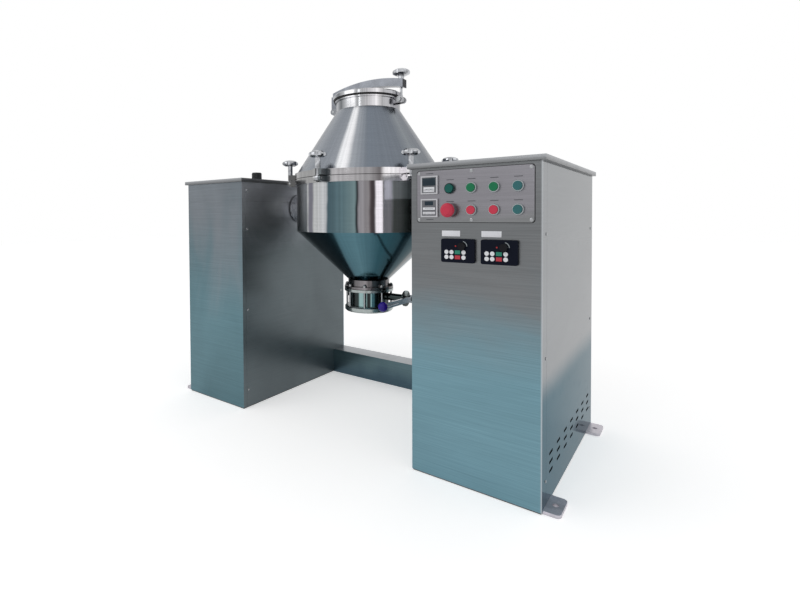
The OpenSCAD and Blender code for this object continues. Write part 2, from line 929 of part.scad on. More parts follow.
module chopper_shaft() {
    color("silver") {
        end_x = drum_x + chopper_reach;
        start_x = left_x - chopper_end_u;
        x_rod(start_x, end_x - start_x, chopper_r, 0, shaft_z);
        for (i = [0:blade_sets - 1])
            translate([end_x - i * blade_pitch, 0, shaft_z]) rotate([i * 180 / blade_sets, 0, 0]) {
                x_rod(-blade_hub_l, blade_hub_l, blade_hub_r);
                for (s = [0, 180]) rotate([s, 0, 0]) translate([-blade_hub_l / 2, 0, 0]) rotate(blade_slant)
                    box([-blade_w / 2, -blade_t / 2, chopper_r], [blade_w / 2, blade_t / 2, blade_l]);
            }
    }
}

// Electrical plate on the back rails of the control column
mount_gap = 0.3;
board_t = 3;
board_in = 16;
board_gap = 4;
drive_w = 90;
drive_h = 140;
drive_d = 120;
drive_low = 350;
drive_fin_t = 3;
drive_fins = 7;
contactor_w = 45;
contactor_h = 76;
contactor_d = 84;
contactor_low = 215;
terminal_n = 14;
terminal_t = 9;
terminal_d = 46;
terminal_low = 110;
terminal_rise = 52;
unit_gap = 24;

module electrical_panel() {
    color("lightgray") on_right() {
        face = frame_y - tube_s - board_t;
        box([board_in, face, tube_s + board_gap],
            [right_w - board_in, face + board_t, torque_rail_z - board_gap]);
        for (i = [0, 1]) translate([right_w / 2 + (i - 1) * drive_w + (i - 0.5) * unit_gap, face - mount_gap,
                drive_low]) {
            box([0, -drive_d, 0], [drive_w, -drive_d / 4, drive_h]);
            for (j = [0:drive_fins - 1]) translate([j * (drive_w - drive_fin_t) / (drive_fins - 1), 0, 0])
                box([0, -drive_d / 4, 0], [drive_fin_t, 0, drive_h]);
        }
        for (i = [0:2]) translate([right_w / 2 + (i - 1.5) * contactor_w + (i - 1) * terminal_t,
                face - mount_gap, contactor_low]) {
            box([0, -contactor_d * 0.6, 0], [contactor_w, 0, contactor_h]);
            box([contactor_w / 6, -contactor_d, contactor_h / 4],
                [contactor_w * 5 / 6, -contactor_d * 0.6, contactor_h * 3 / 4]);
        }
        for (i = [0:terminal_n - 1])
            translate([right_w / 2 + (i - terminal_n / 2) * (terminal_t + seam), face - mount_gap,
                terminal_low])
            box([0, -terminal_d, 0], [terminal_t, 0, terminal_rise]);
    }
}

// Control plate and what it carries; the places are measured from the plate's middle
plate_clip = 6;
meter_body_s = 44.5;
meter_body_l = 60;
meter_bezel_h = 6;
meter_window = [42, 20];
meter_window_z = 10;
meter_window_deep = 0.8;
meter_key = [9, 5];
meter_key_z = -15;
meter_key_h = 0.6;

function button_place(i, j) = [button_x + i * button_pitch, button_row_z - j * button_rise];

button_places = [for (j = [0, 1], i = [0:button_cols - 1]) button_place(i, j)];
stop_index = 4;

module plate_outline() {
    w = plate_w / 2;
    h = plate_h / 2;
    polygon([[-w, plate_clip - h], [plate_clip - w, -h], [w - plate_clip, -h], [w, plate_clip - h],
        [w, h - plate_clip], [w - plate_clip, h], [plate_clip - w, h], [-w, h - plate_clip]]);
}

module on_plate(p, up = 0) {
    facing_front(control_x + p[0], front_y - plate_t - up, plate_z + p[1]) children();
}

module control_plate() {
    color("silver") difference() {
        facing_front(control_x, front_y, plate_z) linear_extrude(plate_t) plate_outline();
        for (p = button_places) on_plate(p, cut) mirror([0, 0, 1])
            cylinder(h = plate_t + 2 * cut, r = barrel_r_small + hole_play);
        for (z = meter_row_z) on_plate([meter_x, z], cut) mirror([0, 0, 1])
            box([-meter_body_s / 2 - hole_play, -meter_body_s / 2 - hole_play, 0],
                [meter_body_s / 2 + hole_play, meter_body_s / 2 + hole_play, plate_t + 2 * cut]);
        plate_screw_places() translate([0, 0, -cut])
            cylinder(h = plate_t + 2 * cut, r = screw_r + screw_play);
    }
}

module meter() {
    w = meter_window[0] / 2;
    h = meter_window[1] / 2;
    difference() {
        box([-meter_s / 2, -meter_s / 2, 0], [meter_s / 2, meter_s / 2, meter_bezel_h]);
        box([-w, meter_window_z - h, meter_bezel_h - meter_window_deep],
            [w, meter_window_z + h, meter_bezel_h + cut]);
    }
    box([-meter_body_s / 2, -meter_body_s / 2, -meter_body_l], [meter_body_s / 2, meter_body_s / 2, 0]);
    for (i = [-1, 0, 1]) translate([i * meter_key[0] * 1.4, meter_key_z, meter_bezel_h])
        box([-meter_key[0] / 2, -meter_key[1] / 2, 0], [meter_key[0] / 2, meter_key[1] / 2, meter_key_h]);
}

module meters() {
    color("whitesmoke") for (z = meter_row_z) on_plate([meter_x, z]) meter();
}

// Buttons: ring with barrel and nut, moving cap, contact block behind
ring_floor = 1.2;
ring_h = 7;
cap_gap = 0.5;
cap_top = 10.5;
barrel_l = 22;
ring_nut_r = 14.5;
ring_nut_h = 4;
cap_under = ring_floor + button_travel + cap_gap;
stem_end = 20;
stop_travel = 4;
stop_collar_r = 16;
stop_collar_h = 8;
stop_under = stop_collar_h + stop_travel + cap_gap;
stop_head_h = 17;
stop_top = stop_under + stop_head_h;
contact_w = 28;
contact_h = 34;
contact_l = 34;

module button_ring(stop) {
    low = stop ? stop_collar_h : ring_floor;
    outer = stop ? stop_collar_r : ring_r;
    rotate_extrude() polygon(concat(
        [[stem_hole_r, -barrel_l], [barrel_r_small, -barrel_l], [barrel_r_small, 0], [outer, 0]],
        stop ? [[outer, low - cap_gap], [outer - cap_gap, low]]
             : [[outer, ring_h - cap_gap], [outer - cap_gap, ring_h], [cap_r + cap_gap, ring_h],
                [cap_r + cap_gap, low]],
        [[stem_hole_r, low]]));
    translate([0, 0, -plate_t - sheet_t - ring_nut_h])
        tube(ring_nut_h, ring_nut_r, barrel_r_small + hole_play);
    translate([0, 0, -plate_t - sheet_t]) tube(sheet_t, ring_nut_r, barrel_r_small + hole_play);
}

module button_rings() {
    color("silver") for (i = [0:7]) on_plate(button_places[i]) button_ring(i == stop_index);
}

module contact_blocks() {
    color("dimgray") for (p = button_places) on_plate(p) difference() {
        box([-contact_w / 2, -contact_h / 2, -barrel_l - contact_l],
            [contact_w / 2, contact_h / 2, -barrel_l]);
        translate([0, 0, -stem_end - stop_travel - cap_gap]) cylinder(h = stem_end, r = stem_hole_r);
    }
}

module push_button(i) {
    on_plate(button_places[i]) rotate_extrude() polygon([[0, -stem_end], [stem_button_r, -stem_end],
        [stem_button_r, cap_under], [cap_r, cap_under], [cap_r, cap_top - cap_gap],
        [cap_r - cap_gap, cap_top], [0, cap_top]]);
}

module power_button() { color("darkgreen") push_button(0); }
module drum_start_button() { color("green") push_button(1); }
module chopper_start_button() { color("green") push_button(2); }
module jog_button() { color("teal") push_button(3); }
module drum_stop_button() { color("crimson") push_button(5); }
module chopper_stop_button() { color("crimson") push_button(6); }
module reset_button() { color("teal") push_button(7); }

module emergency_stop() {
    dish = (stop_top - stop_under) / 4;
    color("crimson") on_plate(button_places[stop_index]) rotate_extrude() polygon([
        [0, -stem_end], [stem_button_r, -stem_end], [stem_button_r, stop_under],
        [stop_r - dish, stop_under], [stop_r, stop_under + dish], [stop_r, stop_top - 2 * dish],
        [stop_r - dish / 2, stop_top - dish], [stop_r - 2 * dish, stop_top], [0, stop_top]]);
}

// Drive keypads: case in the front panel, keys on it, speed knob at the upper right
keypad_round = 5;
key_r = 6;
key_h = 0.8;
key_columns = [-32, -17, 18];
key_rows = [-4, -18];
wide_key = [15.5, 10.5];
wide_key_x = 0.5;
speed_knob_at = [14, 13];
speed_knob_r = 10.5;
speed_knob_h = 8;
speed_stem_r = 3;
speed_stem_l = 7;
speed_mark = [1.6, 5];
speed_mark_deep = 0.5;

module rounded_plate(w, h, t, r) {
    box([-w / 2 + r, -h / 2, 0], [w / 2 - r, h / 2, t]);
    box([-w / 2, -h / 2 + r, 0], [w / 2, h / 2 - r, t]);
    for (x = [-1, 1], y = [-1, 1]) translate([x * (w / 2 - r), y * (h / 2 - r), 0]) cylinder(h = t, r = r);
}

module on_keypad(i, up = 0) {
    facing_front(control_x + keypad_x[i], front_y - up, keypad_z) children();
}

module keypads() {
    color("black") for (i = [0, 1]) on_keypad(i) {
        difference() {
            union() {
                rounded_plate(keypad_w, keypad_h, keypad_t, keypad_round);
                box([-keypad_back_w / 2, -keypad_back_h / 2, -keypad_back_l],
                    [keypad_back_w / 2, keypad_back_h / 2, 0]);
            }
            translate([speed_knob_at[0], speed_knob_at[1], keypad_t - speed_stem_l])
                cylinder(h = speed_stem_l + cut, r = speed_stem_r + run_fit);
        }
        translate([0, 0, keypad_t]) for (y = key_rows) {
            for (x = key_columns) translate([x, y, 0]) cylinder(h = key_h, r = key_r);
            translate([wide_key_x, y, 0]) box([-wide_key[0] / 2, -wide_key[1] / 2, 0],
                [wide_key[0] / 2, wide_key[1] / 2, key_h]);
        }
    }
}

module speed_knob(i) {
    on_keypad(i, keypad_t) translate([speed_knob_at[0], speed_knob_at[1], 0]) {
        difference() {
            translate([0, 0, cap_gap]) cylinder(h = speed_knob_h, r = speed_knob_r);
            translate([0, 0, cap_gap + speed_knob_h - speed_mark_deep])
                box([-speed_mark[0] / 2, speed_knob_r - speed_mark[1], 0],
                    [speed_mark[0] / 2, speed_knob_r + cut, speed_mark_deep + cut]);
        }
        translate([0, 0, cap_gap - speed_stem_l + cap_gap])
            cylinder(h = speed_stem_l, r = speed_stem_r);
    }
}

module drum_speed_knob() { color("dimgray") speed_knob(0); }
module chopper_speed_knob() { color("dimgray") speed_knob(1); }

// Drum shells
inner_r = barrel_r - shell_t;
flange_hole_r = inner_r;
hub_screw_n = 6;
hub_screw_ring = 50;
hub_screw_r = 5;
hub_head_r = 8;
hub_head_h = 10;
hub_thread_l = 15;
hub_screw_play = 0.2;

module hub_screw_places() {
    for (s = [0, 1]) on_drum() mirror([s, 0, 0]) for (i = [0:hub_screw_n - 1])
        translate([boss_face, 0, shaft_z]) rotate([i * 360 / hub_screw_n, 0, 0])
            translate([0, hub_screw_ring, 0]) rotate([0, 90, 0]) children();
}

module clamp_places() {
    for (i = [0:clamp_count - 1]) on_drum() rotate(clamp_start + i * 360 / clamp_count)
        translate([clamp_out, 0, 0]) children();
}

module lower_shell() {
    rim = valve_flange_r;
    low = outlet_low_z;
    lug_in = clamp_out - flange_r + lip_t;
    lug_gap_w = clamp_eye_w / 2 + lug_gap;
    color("silver") difference() {
        union() {
            on_drum() rotate_extrude() polygon([
                [outlet_r - shell_t, low], [rim, low], [rim, low + outlet_flange_t],
                [outlet_r, low + outlet_flange_t], [outlet_r, outlet_z], [barrel_r, barrel_z],
                [barrel_r, lower_flange_z], [flange_r, lower_flange_z], [flange_r, lower_flange_z + flange_t],
                [inner_r, lower_flange_z + flange_t], [inner_r, barrel_z],
                [outlet_r - shell_t, outlet_z]]);
            on_drum() difference() {
                x_rod(-boss_face, 2 * boss_face, hub_r, 0, shaft_z);
                translate([0, 0, barrel_z])
                    cylinder(h = lower_flange_z + flange_t - barrel_z, r = inner_r + shell_t / 2);
            }
            clamp_places() for (s = [-1, 1]) {
                near = s > 0 ? lug_gap_w : -lug_gap_w - lug_t;
                box([-lug_in, near, lower_flange_z], [0, near + lug_t, lower_flange_z + flange_t]);
                translate([0, 0, clamp_pin_z]) y_rod(near, lug_t, flange_t + lower_flange_z - clamp_pin_z);
            }
        }
        on_drum() x_rod(-boss_face - cut, boss_face, hollow_r, 0, shaft_z);
        clamp_places() translate([0, 0, clamp_pin_z])
            y_rod(-fork_w, 2 * fork_w, pin_r + hole_play);
        clamp_places() box([-clamp_eye_r - seam, -lug_gap_w, lower_flange_z - cut],
            [clamp_eye_r, lug_gap_w, lower_flange_z + flange_t + cut]);
        hub_screw_places() translate([0, 0, -hub_thread_l - cut])
            cylinder(h = hub_thread_l + 2 * cut, r = hub_screw_r + hub_screw_play);
        outlet_bolt_holes(low - cut, outlet_flange_t + 2 * cut);
    }
}

module outlet_bolt_places() {
    on_drum() for (i = [0:valve_bolts_n - 1]) rotate((i + 0.5) * 360 / valve_bolts_n)
        translate([valve_bolt_ring, 0, 0]) children();
}

module outlet_bolt_holes(z, h) {
    outlet_bolt_places() translate([0, 0, z]) cylinder(h = h, r = valve_bolt_r + bolt_play);
}

// Ears on the neck for the lid's hinge and for its clamp screw
module neck_ears(out, z, half_gap, r) {
    for (s = [-1, 1]) {
        box([neck_r - shell_t / 2, s > 0 ? half_gap : -half_gap - ear_t, z - r],
            [out, s > 0 ? half_gap + ear_t : -half_gap, z + r]);
        translate([out, 0, z]) y_rod(s > 0 ? half_gap : -half_gap - ear_t, ear_t, r);
    }
}

module upper_shell() {
    fork_in = clamp_out - flange_r + lip_t;
    color("silver") difference() {
        union() {
            on_drum() rotate_extrude() polygon([
                [flange_hole_r, upper_flange_z], [flange_r, upper_flange_z], [flange_r, cone_z],
                [barrel_r, cone_z], [neck_r, neck_z], [neck_r, neck_top_z - lip_t],
                [neck_r + lip_out, neck_top_z - lip_t], [neck_r + lip_out, neck_top_z],
                [neck_r - shell_t, neck_top_z], [neck_r - shell_t, neck_z], [inner_r, cone_z]]);
            clamp_places() box([-fork_in, -fork_w / 2, upper_flange_z], [fork_over, fork_w / 2, cone_z]);
            on_drum() mirror([1, 0, 0]) neck_ears(hinge_out, hinge_z, eye_w / 2 + ear_gap, ear_r);
            on_drum() neck_ears(screw_out, nut_z, barrel_nut_r + ear_gap, ear_r);
        }
        clamp_places() {
            translate([0, 0, upper_flange_z - cut])
                cylinder(h = flange_t + 2 * cut, r = clamp_r + fork_play);
            box([0, -clamp_r - fork_play, upper_flange_z - cut],
                [fork_over + cut, clamp_r + fork_play, cone_z + cut]);
        }
        on_drum() translate([-hinge_out, 0, hinge_z])
            y_rod(-arm_w, 2 * arm_w, hinge_pin_r + hole_play);
        on_drum() translate([screw_out, 0, nut_z]) y_rod(-arm_w, 2 * arm_w, hinge_pin_r + hole_play);
    }
}

seal_gap = 0.1;
seal_l = 20;

module seals() {
    color("black") on_drum() {
        translate([0, 0, joint_z - gasket_t / 2]) tube(gasket_t, flange_r - gasket_t, inner_r);
        translate([0, 0, neck_top_z]) tube(lid_gasket_t, lid_r - gasket_t, neck_r - shell_t);
        translate([0, 0, valve_top_z]) tube(valve_gasket_t, valve_bolt_ring - valve_bolt_r - gasket_t,
            outlet_r - shell_t);
        translate([-boss_face, 0, shaft_z]) rotate([0, 90, 0])
            tube(seal_l, hollow_r - seal_gap, chopper_r + run_fit);
    }
}

// Trunnions, Z outwards from the boss face
module collar() {
    difference() {
        cylinder(h = collar_l, r = hub_r);
        for (i = [0:hub_screw_n - 1]) rotate(i * 360 / hub_screw_n) translate([0, hub_screw_ring, 0]) {
            translate([0, 0, -cut]) cylinder(h = collar_l + 2 * cut, r = hub_screw_r + hub_screw_play);
            translate([0, 0, collar_l - hub_head_h - hub_screw_play])
                cylinder(h = collar_l, r = hub_head_r + hub_screw_play);
        }
    }
}

module left_trunnion() {
    end = boss_back + trunnion_end_u;
    color("silver") on_drum() translate([-boss_face, 0, shaft_z]) rotate([0, -90, 0]) difference() {
        union() {
            collar();
            cylinder(h = end, r = trunnion_r);
        }
        translate([0, 0, -cut]) cylinder(h = end + 2 * cut, r = hollow_r);
    }
}

module right_trunnion() {
    color("silver") on_drum() translate([boss_face, 0, shaft_z]) rotate([0, 90, 0]) {
        collar();
        cylinder(h = boss_back + drive_step_u, r = trunnion_r);
        cylinder(h = boss_back + drive_end_u, r = drive_r);
    }
}

module socket_screw() {
    difference() {
        cylinder(h = hub_head_h, r = hub_head_r);
        translate([0, 0, hub_head_h / 2]) cylinder(h = hub_head_h, r = hub_head_r / 2, $fn = 6);
    }
    translate([0, 0, hub_head_h + hub_screw_play - collar_l - hub_thread_l])
        cylinder(h = collar_l + hub_thread_l - hub_head_h - hub_screw_play, r = hub_screw_r);
}

valve_nut_r = valve_nut_in / cos(30);
valve_nut_h = 6;
valve_dome_r = 5.5;
valve_dome_h = 5;
valve_thread_l = 12;

module drum_bolts() {
    color("silver") {
        hub_screw_places() translate([0, 0, collar_l - hub_head_h - hub_screw_play]) socket_screw();
        outlet_bolt_places() {
            translate([0, 0, valve_ring_z - valve_thread_l])
                cylinder(h = outlet_low_z + outlet_flange_t + valve_nut_h - valve_ring_z + valve_thread_l,
                    r = valve_bolt_r);
            translate([0, 0, outlet_low_z + outlet_flange_t]) {
                rotate(30) cylinder(h = valve_nut_h, r = valve_nut_r, $fn = 6);
                translate([0, 0, valve_nut_h - seam]) rotate_extrude() polygon([[0, 0], [valve_dome_r, 0],
                    [valve_dome_r, valve_dome_h / 2], [valve_dome_r / 2, valve_dome_h], [0, valve_dome_h]]);
            }
        }
    }
}

module hinge_pins() {
    pin_l = 2 * (clamp_eye_w / 2 + lug_gap + lug_t);
    color("silver") {
        clamp_places() translate([0, 0, clamp_pin_z]) y_rod(-pin_l / 2, pin_l, pin_r);
        hinge_l = eye_w + 2 * (ear_gap + ear_t);
        on_drum() translate([-hinge_out, 0, hinge_z]) y_rod(-hinge_l / 2, hinge_l, hinge_pin_r);
        nut_l = 2 * (barrel_nut_r + ear_gap + ear_t + lip_t);
        on_drum() translate([screw_out, 0, nut_z]) difference() {
            union() {
                y_rod(-nut_l / 2, nut_l, hinge_pin_r);
                y_rod(-barrel_nut_r, 2 * barrel_nut_r, barrel_nut_r);
                for (s = [-1, 1]) y_rod(s > 0 ? nut_l / 2 - lip_t : -nut_l / 2, lip_t, ear_r * 0.8);
            }
            translate([0, 0, -barrel_nut_r - cut])
                cylinder(h = 2 * (barrel_nut_r + cut), r = lid_screw_r + nut_play);
        }
    }
}

// Lid with its boss
boss_r = 16;

module lid() {
    edge = lid_t / 4;
    color("silver") on_drum() rotate_extrude() polygon([
        [0, lid_z], [lid_r, lid_z], [lid_r, lid_top_z - edge], [lid_r - edge, lid_top_z],
        [boss_r, lid_top_z + edge / 2], [boss_r, seat_z], [0, seat_z]]);
}

// Arched arm from the hinge eye over the lid to the clamp screw
arm_arch_in = hinge_out - eye_r;
arm_reach = screw_out + arm_end;

module arch_band(w) {
    translate([arch_mid, w / 2, arch_low_z]) rotate([90, 0, 0]) difference() {
        cylinder(h = w, r = arch_r, $fn = 4 * $fn);
        translate([0, 0, -cut]) cylinder(h = w + 2 * cut, r = arch_r - arm_h, $fn = 4 * $fn);
    }
}

module lid_arm() {
    leg_top_z = arch_low_z + sqrt(pow(arch_r - arm_h, 2) - pow(arch_mid + arm_arch_in, 2));
    color("silver") on_drum() difference() {
        union() {
            intersection() {
                arch_band(arm_w);
                box([-hinge_out, -arm_w, lid_top_z], [arm_reach, arm_w, arch_top_z + cut]);
            }
            translate([-hinge_out, 0, hinge_z]) y_rod(-eye_w / 2, eye_w, eye_r);
            box([-hinge_out - eye_r, -eye_w / 2, hinge_z], [-arm_arch_in, eye_w / 2, leg_top_z + arm_h / 2]);
            box([-seat_r, -arm_w / 2, seat_z], [seat_r, arm_w / 2, arch_top_z - arm_h / 2]);
        }
        translate([-hinge_out, 0, hinge_z]) y_rod(-eye_w, 2 * eye_w, hinge_pin_r + run_fit);
        translate([screw_out, 0, lid_top_z]) cylinder(h = arch_top_z, r = lid_screw_r + run_fit);
        // A seat cut into the arm's end for the sleeve of the screw
        translate([screw_out, 0, screw_seat_z]) cylinder(h = arm_h, r = lid_sleeve_r + bolt_play);
    }
}

lid_sleeve_r = 11;
lid_sleeve_l = 18;
seat_cut = 2;
screw_seat_z = arch_low_z + sqrt(pow(arch_r, 2) - pow(arm_reach - arch_mid, 2)) - seat_cut;

// Star knob, Z up from its underside
knob_lobes = 6;
knob_bite_r = 9;
knob_bite_share = 1.12;

module star_knob(r) {
    difference() {
        rotate_extrude() polygon([[0, 0], [r * 0.62, 0], [r * 0.94, knob_h * 0.22], [r, knob_h * 0.42],
            [r * 0.94, knob_h * 0.66], [r * 0.7, knob_h * 0.88], [r * 0.3, knob_h], [0, knob_h]]);
        for (i = [0:knob_lobes - 1]) rotate((i + 0.5) * 360 / knob_lobes)
            translate([r * knob_bite_share, 0, -cut]) cylinder(h = knob_h + 2 * cut, r = knob_bite_r);
    }
}

module lid_knob() {
    bottom = nut_z - barrel_nut_r + seam;
    under = screw_seat_z + sleeve_gap;
    color("silver") on_drum() translate([screw_out, 0, 0]) {
        translate([0, 0, bottom]) cylinder(h = under - bottom + lid_sleeve_l + knob_h / 2, r = lid_screw_r);
        translate([0, 0, under]) cylinder(h = lid_sleeve_l, r = lid_sleeve_r);
        translate([0, 0, under + lid_sleeve_l]) star_knob(lid_knob_r);
    }
}

// Swing clamp: eye bolt with a star knob on a sleeve
module clamp() {
    sleeve_z = cone_z + sleeve_gap - clamp_pin_z;
    difference() {
        union() {
            y_rod(-clamp_eye_w / 2, clamp_eye_w, clamp_eye_r);
            cylinder(h = sleeve_z + sleeve_l / 2, r = clamp_r);
        }
        y_rod(-clamp_eye_w, 2 * clamp_eye_w, pin_r + run_fit);
    }
    difference() {
        translate([0, 0, sleeve_z]) {
            cylinder(h = sleeve_l, r = sleeve_r);
            translate([0, 0, sleeve_l]) star_knob(clamp_knob_r);
        }
        cylinder(h = sleeve_z + sleeve_l / 2 + seam, r = clamp_r + thread_play);
    }
}

module clamp_at(i) {
    color("silver") on_drum() rotate(clamp_start + i * 360 / clamp_count)
        translate([clamp_out, 0, clamp_pin_z]) clamp();
}

module clamp_1() { clamp_at(0); }
module clamp_2() { clamp_at(1); }
module clamp_3() { clamp_at(2); }
module clamp_4() { clamp_at(3); }
module clamp_5() { clamp_at(4); }
module clamp_6() { clamp_at(5); }

// Butterfly outlet valve
stem_left = 20;
lever_stand = 14;
stem_tube_end = lever_out - lever_stand;
stop_plate_r = 30;
stop_plate_t = 6;

module valve_body() {
    bore = outlet_r - shell_t;
    color("silver") on_drum() difference() {
        union() {
            rotate_extrude() polygon([
                [valve_bore_r, valve_low_z], [valve_low_r - lip_t, valve_low_z],
                [valve_low_r, valve_low_z + lip_t], [valve_low_r, valve_ring_z - lip_t],
                [valve_low_r - lip_t, valve_ring_z], [valve_r, valve_ring_z],
                [valve_r, valve_ring_z + valve_h], [valve_flange_r, valve_ring_z + valve_h],
                [valve_flange_r, valve_top_z], [valve_bore_r, valve_top_z]]);
            difference() {
                x_rod(valve_bore_r + shell_t, stem_tube_end - valve_bore_r - shell_t, stem_tube_r, 0,
                    stem_z);
                x_rod(valve_bore_r, stem_tube_end, stem_r + run_fit, 0, stem_z);
            }
            x_rod(-valve_r - stem_left, stem_left + shell_t, stem_tube_r, 0, stem_z);
            difference() {
                x_rod(stem_tube_end - stop_plate_t, stop_plate_t, stop_plate_r, 0, stem_z);
                x_rod(0, lever_out, stem_r + run_fit, 0, stem_z);
            }
        }
        x_rod(-valve_r - shell_t, lever_out + valve_r, stem_r + run_fit, 0, stem_z);
        translate([-drum_x, 0, 0]) {
            outlet_bolt_holes(valve_ring_z + valve_h - cut, valve_flange_t + 2 * cut);
            outlet_bolt_holes(valve_ring_z - valve_thread_l - cut, valve_thread_l + 2 * cut);
        }
    }
}

module valve_disc() {
    span = valve_r + shell_t / 2;
    color("silver") on_drum() {
        translate([0, 0, stem_z]) rotate_extrude() polygon([[0, -disc_t], [stem_r, -disc_t],
            [valve_bore_r - disc_play, -disc_t / 4], [valve_bore_r - disc_play, disc_t / 4],
            [stem_r, disc_t], [0, disc_t]]);
        x_rod(-span, span + lever_out + lever_t, stem_r, 0, stem_z);
    }
}

lever_hub_r = 15;
lever_w = 20;
ball_stem_r = 5;
ball_stem_l = 22;

module valve_lever() {
    color("silver") on_drum() translate([lever_out, 0, stem_z]) difference() {
        union() {
            x_rod(0, lever_t, lever_hub_r);
            box([0, ball_stem_l - lever_l, -lever_w / 2], [lever_t, 0, lever_w / 2]);
            y_rod(-lever_l, lever_l / 2, ball_stem_r, lever_t / 2);
        }
        x_rod(-cut, lever_t + 2 * cut, stem_r + run_fit);
    }
}

ball_steps = 24;
ball_flat_r = 8;

// Ball grip with a flat face where the lever enters it
module lever_ball() {
    first = asin(ball_flat_r / ball_r);
    color("navy") on_drum() translate([lever_out + lever_t / 2, -lever_l, stem_z]) rotate([-90, 0, 0])
        difference() {
            rotate_extrude() polygon(concat([[0, ball_r * cos(first)]],
                [for (i = [0:ball_steps]) let (a = first + i * (180 - first) / ball_steps)
                    [ball_r * sin(a), ball_r * cos(a)]]));
            cylinder(h = ball_r + cut, r = ball_stem_r + thread_play);
        }
}

right_frame();
left_frame();
anchor_feet();
rear_beam();
right_front_panel();
right_outer_panel();
right_inner_panel();
left_front_panel();
left_outer_panel();
left_inner_panel();
inner_upper_panels();
back_panels();
top_covers();
panel_screws();
top_cap();
bearing_blocks();
machine_bolts();
gear_reducer();
drum_motor();
chopper_motor();
drive_belt();
control_plate();
meters();
button_rings();
contact_blocks();
keypads();
electrical_panel();
power_button();
drum_start_button();
chopper_start_button();
jog_button();
drum_stop_button();
chopper_stop_button();
reset_button();
emergency_stop();
drum_speed_knob();
chopper_speed_knob();
lower_shell();
upper_shell();
seals();
left_trunnion();
right_trunnion();
valve_body();
drum_bolts();
hinge_pins();
lid();
lid_arm();
lid_knob();
clamp_1();
clamp_2();
clamp_3();
clamp_4();
clamp_5();
clamp_6();
valve_lever();
lever_ball();
valve_disc();
chopper_shaft();
chopper_pulley();
motor_pulley();
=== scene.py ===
"""Double-cone drum mixer: materials, small fittings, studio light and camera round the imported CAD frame."""

import math

import bpy
from mathutils import Euler, Matrix, Vector


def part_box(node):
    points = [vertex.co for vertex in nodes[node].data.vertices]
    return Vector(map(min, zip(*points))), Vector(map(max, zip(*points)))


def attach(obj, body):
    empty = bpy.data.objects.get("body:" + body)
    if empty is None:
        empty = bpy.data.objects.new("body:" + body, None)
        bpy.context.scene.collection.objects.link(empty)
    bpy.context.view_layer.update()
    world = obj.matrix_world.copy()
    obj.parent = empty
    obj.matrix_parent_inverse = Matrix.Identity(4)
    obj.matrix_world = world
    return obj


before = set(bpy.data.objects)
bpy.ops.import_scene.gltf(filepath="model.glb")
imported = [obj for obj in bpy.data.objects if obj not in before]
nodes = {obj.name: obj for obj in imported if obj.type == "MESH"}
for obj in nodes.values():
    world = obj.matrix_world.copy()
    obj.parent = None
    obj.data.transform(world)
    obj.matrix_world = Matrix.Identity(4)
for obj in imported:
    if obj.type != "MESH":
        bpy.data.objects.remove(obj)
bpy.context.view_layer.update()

MM = 0.001

# A face looks along an axis when its normal's part along that axis is larger than this
LOOKS_ALONG = 0.5

# The photograph's camera, solved from the machine's corners
PHOTO_WIDTH_PX = 800
PHOTO_HEIGHT_PX = 600
FOCAL_PX = 479.65
CENTRE_PX = (331.67, 226.53)
CAMERA_PLACE = (1.047, -1.606, 0.763)
CAMERA_YAW = math.radians(37.81)
CAMERA_PITCH_DOWN = math.radians(1.27)
CAMERA_ROLL = math.radians(-0.35)
SENSOR_MM = 36
VIEW_END = 60

# The side of the drum that the photograph shows: the painted reflections, light and dark bands, are placed
# from the middle of that side
PAINTED_REFLECTIONS_FACE = math.radians(-56.9)


def middle_of(name):
    """Middle of a CAD node's box, as x, y and z."""
    low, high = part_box(name)
    return [(low[axis] + high[axis]) / 2 for axis in range(3)]


# Places that the finishes and fittings are worked out from
hub_x = middle_of("lower_shell")[0]
plate_low, plate_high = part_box("control_plate")
plate_front = plate_low.y
panel_low, panel_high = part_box("right_front_panel")
panel_front = panel_low.y


def deselect_all():
    if bpy.context.object and bpy.context.object.mode != "OBJECT":
        bpy.ops.object.mode_set(mode="OBJECT")
    bpy.ops.object.select_all(action="DESELECT")


# Shader building


def add_node(tree, kind, **inputs):
    """A node with its input sockets set: a value, or another node's output socket."""
    made = tree.nodes.new(kind)
    for key, value in inputs.items():
        name = key.replace("_", " ")
        socket = made.inputs[name] if name in made.inputs else made.inputs[int(key[1:])]
        if isinstance(value, bpy.types.NodeSocket):
            tree.links.new(value, socket)
        else:
            socket.default_value = value
    return made


def math_node(tree, operation, first, second=0.0, clamp=False):
    made = tree.nodes.new("ShaderNodeMath")
    made.operation = operation
    made.use_clamp = clamp
    for socket, value in zip(made.inputs, (first, second)):
        if isinstance(value, bpy.types.NodeSocket):
            tree.links.new(value, socket)
        else:
            socket.default_value = value
    return made.outputs[0]


def map_range(tree, value, from_low, from_high, to_low=0.0, to_high=1.0, smooth=False):
    made = add_node(tree, "ShaderNodeMapRange", Value=value, From_Min=from_low, From_Max=from_high,
                    To_Min=to_low, To_Max=to_high)
    if smooth:
        made.interpolation_type = "SMOOTHSTEP"
    return made.outputs["Result"]


def mix_colour(tree, factor, first, second, blend="MIX"):
    made = tree.nodes.new("ShaderNodeMix")
    made.data_type = "RGBA"
    made.blend_type = blend
    for socket, value in zip((made.inputs[0], made.inputs[6], made.inputs[7]), (factor, first, second)):
        if isinstance(value, bpy.types.NodeSocket):
            tree.links.new(value, socket)
        else:
            socket.default_value = value
    return made.outputs[2]


def rgb(red, green, blue):
    return (red, green, blue, 1.0)


